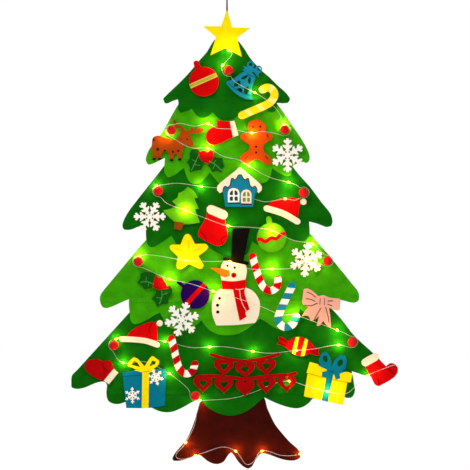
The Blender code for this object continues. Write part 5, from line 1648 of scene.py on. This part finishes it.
@dataclass(frozen=True)
class Pompoms:
    """The ten red wool pompoms.

    Attributes:
        count: how many there are.
        strands: about how many strands of wool each one shows.
        thread: a strand's radius at its root.
        trim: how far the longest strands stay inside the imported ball.
    """

    count: int = 10
    strands: int = 620
    thread: float = 0.00042
    trim: float = 0.0002

    def build(self) -> list[bpy.types.Object]:
        """Grows each pompom's wool round its core.

        Returns:
            The pompoms.
        """
        pieces = []
        for number in range(1, self.count + 1):
            node = f"pompom_{number}"
            low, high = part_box(node)
            radius = (high[0] - low[0]) / 2
            centre = Vector(((low[0] + high[0]) / 2, low[1] + radius, (low[2] + high[2]) / 2))
            core = radius * 0.72
            ball = bmesh.new()
            bmesh.ops.create_icosphere(ball, subdivisions=3, radius=core)
            bmesh.ops.translate(ball, verts=ball.verts, vec=centre)
            mesh = bpy.data.meshes.new("core")
            ball.to_mesh(mesh)
            ball.free()
            density = self.strands / (4 * math.pi * core * core)
            tree = GeometryTree(node + "_wool", {"Density": density, "Length": radius - core - self.trim,
                                                 "Thread": self.thread, "Seed": number})
            spots = tree.add("GeometryNodeDistributePointsOnFaces",
                             {"Mesh": tree.given["Geometry"], "Density": tree.given["Density"],
                              "Seed": tree.given["Seed"]}, distribute_method="RANDOM")
            strand = tree.add("GeometryNodeMeshCone",
                              {"Vertices": 5, "Side Segments": 2, "Radius Top": 0.0002,
                               "Radius Bottom": tree.given["Thread"], "Depth": tree.given["Length"]},
                              fill_type="TRIANGLE_FAN")
            lean = tree.add("FunctionNodeRandomValue", {0: (-0.55, -0.55, 0.0), 1: (0.55, 0.55, 6.28),
                                                        "Seed": tree.given["Seed"]}, data_type="FLOAT_VECTOR")
            turn = tree.add("FunctionNodeRotateRotation", {0: spots.outputs["Rotation"], 1: lean.outputs[0]},
                            rotation_space="LOCAL")
            size = tree.add("FunctionNodeRandomValue", {2: 0.72, 3: 1.0, "Seed": tree.given["Seed"]},
                            data_type="FLOAT")
            grown = tree.add("GeometryNodeInstanceOnPoints",
                             {"Points": spots.outputs[0], "Instance": strand.outputs[0],
                              "Rotation": turn.outputs[0], "Scale": size.outputs[1]})
            tree.end(tree.join(grown.outputs[0], tree.given["Geometry"]), POMPOM_WOOL)
            piece = tree.grow(node + "_ball", new_object("core", mesh))
            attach(piece, TREE_BODY)
            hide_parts(node)
            pieces.append(piece)
        return pieces


class Side(Enum):
    """Which side of the felt a stretch of wire lies on."""

    FRONT = "front"
    BACK = "back"


POMPOMS_PX = ((228.4, 70.8), (284.6, 130.2), (171.8, 130.8), (303.2, 192.7), (158.6, 191.1), (327.5, 260.8),
              (138.6, 261.4), (352, 341.7), (114.4, 344.8), (195.7, 395))
# The light wire's route from the star to the battery box. A step of three numbers passes
# round a pompom, from one angle to another, and "back" and "front" change the side.
WIRE_PX: tuple[str | tuple[float, ...], ...] = (
    (227.8, 50.5), (232, 54), (226, 62), (221.6, 67.6), (0, 200, 290), (233.6, 81.1), (244.5, 87.8),
    (254.6, 93), (266.5, 100.2), (275.6, 108.6), (280.4, 116), (1, 110, -110), (275.4, 133.6),
    (261.4, 131.7), (251.8, 133.4), (232, 129.5), (216.7, 128.3), (207.8, 123.8), (195, 126.4),
    (180.4, 123.6), (2, 80, 250), (176.6, 140.6), (182.3, 144.2), (192.5, 148.2), (207.8, 148.4),
    (224.4, 157), (238.4, 159.9), (248.6, 165.9), (269.7, 177.4), (288.8, 182.5), (296.6, 185.2),
    (3, 125, -120), (295.4, 200.2), (285.3, 199), (265.6, 201.9), (257.6, 200.2), (246, 196.4),
    (225.2, 189.2), (201.1, 186.5), (178, 183.3), (165, 184.6), (4, 80, 285), (166.9, 203.4),
    (185.8, 210.5), (209.5, 219.8), (228, 225.9), (252, 227.4), (271.4, 230.4), (292.7, 240.1),
    (312.1, 243.8), (321.4, 251.6), (5, 110, -110), (315.8, 262.4), (289, 268.4), (272.3, 268.8),
    (249.4, 268.6), (229.8, 261.4), (213.2, 261.4), (185.4, 260.4), (161.4, 256.2), (146, 254.6),
    (6, 75, 290), (154, 272.5), (168.8, 278.9), (191, 283.6), (213.2, 291), (237.8, 298.2), (260.3, 306),
    (281.4, 314.4), (293.3, 314.4), (312.2, 320.7), (336.8, 329.8), (346, 333.6), (7, 110, -110),
    (338.2, 344.6), (312.3, 348.8), (296.1, 350), (270.2, 353), (252.6, 351), (225.3, 346.6),
    (209.8, 346.6), (191.5, 347.4), (167.7, 341.7), (144, 338), (122.8, 336.1), (8, 80, 255),
    (118, 359.4), (127, 363.5), (144.5, 361.4), (167, 371.9), (183.1, 383.8), (9, 150, 300),
    (212, 399.6), (234, 397.6), (256, 391), (272, 384), (289.8, 380.6), (304.5, 385), (327, 391),
    (345.9, 393.2), (356, 385), (367, 375.4), (380, 369.6), (399.4, 363.2), "back", (399.4, 365.6),
    (386, 373), (352, 368), (300, 385), (262, 399), (259, 414), (272, 432), (300.4, 446), "front", (303.4, 450.2),
    (297, 454.4), (281.4, 455), (261.7, 450.5), (253, 462), (246.6, 464.4), (240.7, 456.8),
    (235.7, 450.5), (222.4, 446.6), (202.8, 452.6), (176.6, 457.6), (185.2, 443.4), (194.6, 424.5),
    (196.4, 409.6), "back", (194.6, 405.4), (200, 412))
LAMPS_PX = (
    (227.8, 49.7), (223.2, 66.2), (254.6, 93), (283.7, 123.8), (251.8, 133.4), (207.8, 123.8), (166.4, 134),
    (207.8, 148), (248.6, 165.9), (288.8, 182.5), (285.3, 198.5), (201.1, 186.5), (156.8, 186.5),
    (185.8, 210.5), (228, 225.9), (271.4, 229.9), (312.1, 243.8), (315.8, 261.4), (272.3, 268.8),
    (229.8, 259.5), (185.4, 260.4), (140.1, 255.8), (168.8, 278.9), (213.2, 291), (293.3, 313.7),
    (336.8, 329.8), (338.2, 343.1), (296.1, 349.5), (252.6, 351.6), (209.8, 346.6), (165, 341.3),
    (116.8, 338), (123.2, 361.8), (169, 373.4), (200, 399.3), (289.8, 380.3), (327, 391.5), (367, 374.7),
    (185.2, 441.4), (195, 454), (235.7, 450.5), (261.7, 450.5), (298.9, 451.9))


@dataclass(frozen=True)
class LightString:
    """The string of small warm lamps on thin twisted wire.

    Attributes:
        step: the distance between the points of the wire's line.
        ring_gap: how far the wire stays from a pompom's packed ball.
        tightest: the smallest radius that the wire bends to.
        strand: the radius of each of the wire's two strands.
        strand_away: how far a strand's middle lies from the wire's line.
        strand_step: the distance between a strand's rings of points.
        line_step: the distance between the points of the wire's finished line.
        twist: the length of one full twist.
        ring_steps: how many steps the wire takes round a pompom.
        easing: how many times the wire's depth is smoothed.
        gland_gap: how far from the battery box the wire's route ends.
        gland_run: the straight stretch before that end.
        gland_depth: how deep in the box's thickness the wire enters.
        gland_points: how many points lead it there.
        clear: the wire's distance from what it lies on.
        lamp_length: a lamp's length along the wire.
        lamp_width: a lamp's width.
        lamp_lift: how far a lamp holds the wire off what it lies on.
        lamp_reach: how far from a lamp it does so.
        pool_height: how far in front of its lamp each pool of light starts.
        pool_power: the strength of each pool of light.
        pool_colour: its colour, in linear parts.
        pool_size: how soft the shadows that it throws are.
    """

    step: float = 0.003
    ring_gap: float = 0.0018
    tightest: float = 0.003
    strand: float = 0.00028
    strand_away: float = 0.000294
    strand_step: float = 0.0012
    line_step: float = 0.002
    twist: float = 0.009
    ring_steps: int = 6
    easing: int = 260
    gland_gap: float = 0.0003
    gland_run: float = 0.012
    gland_depth: float = 0.0023
    gland_points: int = 6
    clear: float = 0.0001
    lamp_length: float = 0.0074
    lamp_width: float = 0.0052
    lamp_lift: float = 0.0019
    lamp_reach: float = 0.005
    pool_height: float = 0.0065
    pool_power: float = 0.1
    pool_colour: tuple[float, float, float] = (1.0, 0.5, 0.06)
    pool_size: float = 0.003

    def flat_route(self) -> list[tuple[float, float, Side]]:
        """Reads the wire's route.

        Returns:
            Its points in x and z, each with the side of the felt it lies on.
        """
        low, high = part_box("pompom_1")
        reach = (high[0] - low[0]) / 2 + self.ring_gap
        side = Side.FRONT
        steps: list[tuple[float, float, Side]] = []
        for step in WIRE_PX:
            if isinstance(step, str):
                side = Side(step)
            elif len(step) == 2:
                steps.append((*place(*step), side))
            else:
                x, z = place(*POMPOMS_PX[int(step[0])])
                for k in range(self.ring_steps + 1):
                    a = math.radians(step[1] + (step[2] - step[1]) * k / self.ring_steps)
                    steps.append((x + reach * math.cos(a), z + reach * math.sin(a), side))
        low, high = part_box("battery_case")
        gland = (low[0] - self.gland_gap, (low[2] + high[2]) / 2)
        steps += [(gland[0] - self.gland_run, gland[1], Side.BACK), (*gland, Side.BACK)]
        return steps

    def line(self, surface: Surface, loose: Surface) -> list[Vector]:
        """Lays the wire over the tree, pulled lightly tight.

        Args:
            surface: what the wire lies on.
            loose: the ornaments that lie over the wire.

        Returns:
            The wire's middle line, from the star to the battery box.
        """
        steps = self.flat_route()
        flat = smooth_route([(x, z) for x, z, _ in steps], self.step)
        sides: list[Side] = []
        for (x, z, side), (xn, zn, _) in zip(steps, steps[1:]):
            sides += [side] * max(1, round(math.dist((x, z), (xn, zn)) / self.step))
        sides.append(Side.BACK)
        half = WIRE_DIAMETER / 2 + self.clear
        lamps = [Vector(place(*p)) for p in LAMPS_PX]
        front_most = np.full(len(flat), -FAR)
        back_most = np.full(len(flat), FAR)
        for i, (point, side) in enumerate(zip(flat, sides)):
            beside = Vector((flat[min(i + 1, len(flat) - 1)] - flat[max(i - 1, 0)])).normalized()
            across = Vector((-beside.y, beside.x)) * half
            spots = (point, point + across, point - across)
            if side is Side.FRONT:
                hits = [y for y in (surface.hit(p.x, p.y) for p in spots) if y is not None]
                covers = [y for y in (loose.hit(p.x, p.y, True) for p in spots) if y is not None]
                lifted = not covers and min((point - lamp).length for lamp in lamps) < self.lamp_reach
                if hits:
                    back_most[i] = min(hits) - half - (self.lamp_lift if lifted else 0.0)
                if covers and hits:
                    front_most[i] = min(max(covers) + half, back_most[i])
            else:
                hits = [y for y in (surface.hit(p.x, p.y, True) for p in spots) if y is not None]
                if hits:
                    front_most[i] = max(hits) + half
        want = np.where(back_most < FAR, back_most, np.where(front_most > -FAR, front_most, 0.0))
        depth = np.clip(want, front_most, back_most)
        for _ in range(self.easing):
            depth[1:-1] = eased(depth)
            depth = np.clip(depth, front_most, back_most)
        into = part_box("battery_case")[0][1] + self.gland_depth
        for k in range(self.gland_points):
            depth[-1 - k] = into + (depth[-1 - k] - into) * k / self.gland_points
        return even_line([Vector((p.x, y, p.y)) for p, y in zip(flat, depth)], self.line_step, self.tightest)

    def wire(self, line: list[Vector]) -> bpy.types.Object:
        """Twists two strands along the wire's line.

        Args:
            line: the wire's middle line.

        Returns:
            The wire as one mesh.
        """
        length = length_of(line)
        log.info("light_wire: %.3f m of wire", length)
        tree = GeometryTree("twisted_wire", {"Step": self.strand_step, "Strand": self.strand,
                                             "Away": self.strand_away,
                                             "Turns": length / self.twist * 2 * math.pi})
        tree.end(tree.twist(2, 5), SILVER_WIRE)
        return tree.grow("light_wire", line_host(line))

    def lamps(self, line: list[Vector]) -> bpy.types.Object:
        """Strings the resin drops on the wire and sets a small pool of light before each.

        Args:
            line: the wire's middle line.

        Returns:
            The drops as one mesh.
        """
        spots, turns = [], []
        for px in LAMPS_PX:
            x, z = place(*px)
            nearest = min(range(1, len(line) - 1), key=lambda i: (line[i].x - x) ** 2 + (line[i].z - z) ** 2)
            spots.append(line[nearest])
            turns.append((line[nearest + 1] - line[nearest - 1]).to_track_quat("X", "Z").to_euler())
        mesh = bpy.data.meshes.new("lamp_spots")
        mesh.from_pydata([tuple(s) for s in spots], [], [])
        attribute = mesh.attributes.new("turn", "FLOAT_VECTOR", "POINT")
        attribute.data.foreach_set("vector", [v for turn in turns for v in turn])
        tree = GeometryTree("strung_lamps", {"Long": self.lamp_length, "Wide": self.lamp_width})
        turn = tree.add("GeometryNodeInputNamedAttribute", {"Name": "turn"}, data_type="FLOAT_VECTOR")
        turned = tree.add("FunctionNodeEulerToRotation", {0: turn.outputs[0]})
        strung = tree.add("GeometryNodeInstanceOnPoints",
                          {"Points": tree.given["Geometry"], "Rotation": turned.outputs[0],
                           "Instance": tree.bead(14, 9, "Long", "Wide", "Wide")})
        tree.end(strung.outputs[0], LAMP)
        piece = tree.grow("light_lamps", new_object("lamp_spots", mesh))
        for number, spot in enumerate(spots, 1):
            lamp = bpy.data.lights.new(f"lamp_pool_{number}", "POINT")
            lamp.energy = self.pool_power
            lamp.color = self.pool_colour
            lamp.shadow_soft_size = self.pool_size
            pool = bpy.data.objects.new(lamp.name, lamp)
            pool.location = spot - Vector((0.0, self.pool_height, 0.0))
            pool.visible_camera = False
            bpy.context.scene.collection.objects.link(pool)
        return piece

    def build(self, surface: Surface, loose: Surface) -> None:
        """Builds the wire and its lamps.

        Args:
            surface: what the wire lies on.
            loose: the ornaments that lie over the wire.
        """
        line = self.line(surface, loose)
        wire = self.wire(line)
        lamps = self.lamps(line)
        for piece in (wire, lamps):
            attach(piece, TREE_BODY)
        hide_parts("light_wire_upper", "light_wire_lower")


@dataclass(frozen=True)
class HangingLoop:
    """The loop of red cord, pulled straight by the tree's weight.

    Attributes:
        diameter: the cord's thickness.
        loop_half_width: half the loop's width at its widest.
        loop_height: the loop's height above its neck.
        neck_half_width: half the distance between the cord's two legs.
        end_px: how far down the back its ends are sewn on.
        step: the distance between the points of the cord's line.
        strand: the radius of each of its three strands.
        strand_step: the distance between a strand's rings of points.
        twist: the length of one full twist.
    """

    diameter: float = 0.0022
    loop_half_width: float = 0.005
    loop_height: float = 0.016
    neck_half_width: float = 0.0011
    end_px: float = 40.0
    step: float = 0.0015
    strand: float = 0.000594
    strand_step: float = 0.0007
    twist: float = 0.007

    def build(self) -> bpy.types.Object:
        """Twists the cord's three strands along the loop.

        Returns:
            The cord.
        """
        end_z = place(0.0, self.end_px)[1]
        radius = self.diameter / 2
        round_z, part_round = radius - self.loop_half_width, self.loop_half_width * math.sqrt(0.5)
        leg = [(self.neck_half_width, end_z), (self.neck_half_width, end_z / 2),
               (self.neck_half_width, -self.loop_height), (self.loop_half_width, round_z),
               (part_round, round_z + part_round)]
        route = [(-x, z) for x, z in leg] + [(0.0, radius)] + leg[::-1]
        path = [Vector((p.x, 0.0, p.y)) for p in smooth_route(route, self.step)]
        length = length_of(path)
        tree = GeometryTree("twisted_cord", {"Step": self.strand_step, "Strand": self.strand,
                                             "Away": radius - self.strand,
                                             "Turns": length / self.twist * 2 * math.pi})
        tree.end(tree.twist(3, 8), LOOP_CORD)
        piece = tree.grow("hanging_loop", line_host(path))
        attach(piece, TREE_BODY)
        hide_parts("hanging_cord")
        log.info("hanging_loop: %.3f m of cord", length)
        return piece


@dataclass(frozen=True)
class BatteryBox:
    """The box of three cells behind the trunk, with its sliding cover and switch.

    Attributes:
        edge: the radius of the moulded edges.
        sleeve: the colour of the bands on the cells.
        grip_span: where the thumb ribs start and end, from the cover's end.
        rib_pitch: the distance from one rib to the next.
        rib_width: a rib's width.
        rib_height: a rib's height, half of it in the cover.
        rib_length: a rib's length across the cover.
    """

    edge: float = 0.0004
    sleeve: Colour = (206, 120, 20)
    grip_span: Point = (0.008, 0.022)
    rib_pitch: float = 0.0028
    rib_width: float = 0.0014
    rib_height: float = 0.0020
    rib_length: float = 0.026

    def moulded(self, frame: dict, node: str, body: str, finish: Finish) -> bpy.types.Object:
        """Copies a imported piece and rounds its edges.

        Args:
            frame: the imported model.
            node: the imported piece.
            body: the body it moves with.
            finish: its plastic.

        Returns:
            The rounded piece.
        """
        work = bmesh.new()
        work.from_mesh(frame["nodes"][node].data)
        bmesh.ops.remove_doubles(work, verts=work.verts, dist=0.00001)
        bmesh.ops.dissolve_limit(work, angle_limit=math.radians(1), verts=work.verts, edges=work.edges)
        edges = [e for e in work.edges if len(e.link_faces) == 2 and e.calc_face_angle() > math.radians(50)]
        bmesh.ops.bevel(work, geom=edges, offset=self.edge, segments=2, affect="EDGES", clamp_overlap=True)
        mesh = bpy.data.meshes.new(node + "_moulded")
        work.to_mesh(mesh)
        work.free()
        mesh.materials.clear()
        mesh.materials.append(finish.material())
        piece = new_object(node + "_moulded", mesh)
        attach(piece, body)
        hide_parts(node)
        return piece

    def build(self, frame: dict) -> None:
        """Builds the box's mouldings and dresses the cells, contacts and tape.

        Args:
            frame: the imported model.
        """
        self.moulded(frame, "battery_case", TREE_BODY, CASE_WHITE)
        self.moulded(frame, "battery_cover", "battery_cover", CASE_WHITE)
        self.moulded(frame, "power_switch", "power_switch", SWITCH_BLACK)
        dressed: dict[str, Finish] = {"contact_left": PLATED, "contact_right": PLATED, "case_tape": LOOP_TAPE}
        for number in range(1, 4):
            low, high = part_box(f"cell_{number}")
            facing = 1.0 if number % 2 else -1.0
            dressed[f"cell_{number}"] = Cell(f"cell_sleeve_{number}", self.sleeve, (low[0] + high[0]) / 2, facing)
        for node, finish in dressed.items():
            slots = frame["nodes"][node].material_slots
            slots[0].material = finish.material()
        self.grip()

    def grip(self) -> bpy.types.Object:
        """Sets the row of thumb ribs on the cover's back, near the end it is pushed at.

        Returns:
            The ribs as one piece.
        """
        low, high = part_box("battery_cover")
        path = [Vector((low[0] + x, high[1], (low[2] + high[2]) / 2)) for x in self.grip_span]
        tree = GeometryTree("thumb_grip", {"Pitch": self.rib_pitch, "Width": self.rib_width,
                                           "Height": self.rib_height, "Rib": self.rib_length})
        ribs = tree.add("GeometryNodeInstanceOnPoints",
                        {"Points": tree.spaced("Pitch"), "Instance": tree.bead(10, 8, "Width", "Height", "Rib")})
        tree.end(ribs.outputs[0], CASE_WHITE)
        piece = tree.grow("cover_grip", line_host(path))
        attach(piece, "battery_cover")
        return piece


@dataclass(frozen=True)
class Studio:
    """The camera, the soft lights, the white surroundings and the pale floor.

    Attributes:
        eye_distance: the camera's distance from the tree.
        view_width: the width of what the camera sees at the tree.
        centre: x and z of the middle of the picture.
        surround: the strength of the light from all round.
        key_power: the strength of the main soft light.
        fill_power: the strength of the light from the other side.
        back_power: the strength of the light on the back.
    """

    eye_distance: float = 4.0
    view_width: float = 470 * PIXEL_X
    centre: Point = place(235.0, 235.0)
    surround: float = 0.46
    key_power: float = 106.0
    fill_power: float = 10.0
    back_power: float = 42.0

    def camera(self) -> None:
        """Sets the camera straight in front of the tree."""
        data = bpy.data.cameras.new("camera")
        data.sensor_width = 36.0
        data.lens = 36.0 * self.eye_distance / self.view_width
        eye = bpy.data.objects.new("camera", data)
        eye.location = (self.centre[0], -self.eye_distance, self.centre[1])
        eye.rotation_euler = Euler((math.pi / 2, 0.0, 0.0))
        bpy.context.scene.collection.objects.link(eye)
        bpy.context.scene.camera = eye

    def light(self, name: str, spot: tuple[float, float, float], size: float, power: float) -> None:
        """Sets a soft light that faces the tree's middle.

        Args:
            name: the light's name.
            spot: where it stands.
            size: its width.
            power: its strength.
        """
        data = bpy.data.lights.new(name, "AREA")
        data.energy = power
        data.shape = "DISK"
        data.size = size
        lamp = bpy.data.objects.new(name, data)
        lamp.location = spot
        aim = Vector((self.centre[0], 0.0, self.centre[1])) - Vector(spot)
        lamp.rotation_euler = aim.to_track_quat("-Z", "Y").to_euler()
        bpy.context.scene.collection.objects.link(lamp)

    def white_for_eye(self, nodes: Nodes) -> bpy.types.NodeSocket:
        """Tells rays that the eye, a mirror or clear resin sees directly from the rest.

        Args:
            nodes: the node tree to build in.

        Returns:
            One for those rays and nought for the rest.
        """
        path = nodes.add("ShaderNodeLightPath")
        first = nodes.add("ShaderNodeMath", {0: path.outputs["Is Camera Ray"], 1: path.outputs["Is Glossy Ray"]},
                          operation="MAXIMUM")
        both = nodes.add("ShaderNodeMath", {0: first.outputs[0], 1: path.outputs["Is Transmission Ray"]},
                         operation="MAXIMUM")
        return both.outputs[0]

    def surroundings(self) -> None:
        """Makes the surroundings white to the eye and softly lit for everything else."""
        world = bpy.data.worlds.new("surroundings")
        world.use_nodes = True
        nodes = Nodes(world.node_tree)
        world.node_tree.nodes.clear()
        seen = self.white_for_eye(nodes)
        strength = nodes.add("ShaderNodeMapRange", {"Value": seen, "To Min": self.surround, "To Max": 1.0})
        light = nodes.add("ShaderNodeBackground", {"Color": (1.0, 1.0, 1.0, 1.0), "Strength": strength.outputs[0]})
        nodes.add("ShaderNodeOutputWorld", {"Surface": light.outputs[0]})
        bpy.context.scene.world = world

    def floor(self) -> None:
        """Lays the plain pale floor below the tree."""
        mesh = bpy.data.meshes.new("floor")
        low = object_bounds()[0][2] - 0.12
        reach = 6.0
        mesh.from_pydata([(-reach, -reach, low), (reach, -reach, low), (reach, reach, low), (-reach, reach, low)],
                         [], [(0, 1, 2, 3)])
        nodes = Shader("pale_floor")
        material = nodes.finished({"Base Color": (0.86, 0.86, 0.85, 1.0), "Roughness": 0.9})
        seen = nodes.add("ShaderNodeMath", {0: self.white_for_eye(nodes), 1: 0.94}, operation="MULTIPLY")
        white = nodes.add("ShaderNodeEmission", {"Color": (1.0, 1.0, 1.0, 1.0), "Strength": 1.03})
        both = nodes.add("ShaderNodeMixShader",
                         {0: seen.outputs[0], 1: nodes.shader.outputs[0], 2: white.outputs[0]})
        nodes.tree.links.new(both.outputs[0], material.node_tree.nodes["Material Output"].inputs[0])
        mesh.materials.append(material)
        new_object("floor", mesh)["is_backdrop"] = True

    def build(self) -> None:
        """Sets up the whole studio."""
        bpy.context.scene.view_settings.view_transform = "Standard"
        self.camera()
        self.light("key_light", (-2.0, -3.2, 3.0), 1.0, self.key_power)
        self.light("fill_light", (1.9, -2.8, -0.3), 1.8, self.fill_power)
        self.light("back_light", (1.2, 3.0, 1.4), 1.4, self.back_power)
        self.surroundings()
        self.floor()


def main() -> None:
    """Builds the tree from the back to the front, then its lights and its studio."""
    logging.basicConfig(level=logging.INFO, format="%(name)s: %(message)s")
    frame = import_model()
    Studio().build()
    HangingLoop().build()
    surface, loose = Surface(), Surface()
    for tier in TIERS:
        felt = tier.build(frame)
        surface.lay(felt)
        if tier.thread is not None:
            tier.seam(felt)
    surface.lay(TopStar().build(frame))
    for ornament in ORNAMENTS:
        pieces = ornament.build(frame)
        log.info("%s: %d pieces", ornament.node, len(pieces))
        for piece in pieces:
            (loose if ornament.loose else surface).lay(piece)
    Pompoms().build()
    LightString().build(surface, loose)
    BatteryBox().build(frame)


if __name__ == "__main__":
    main()
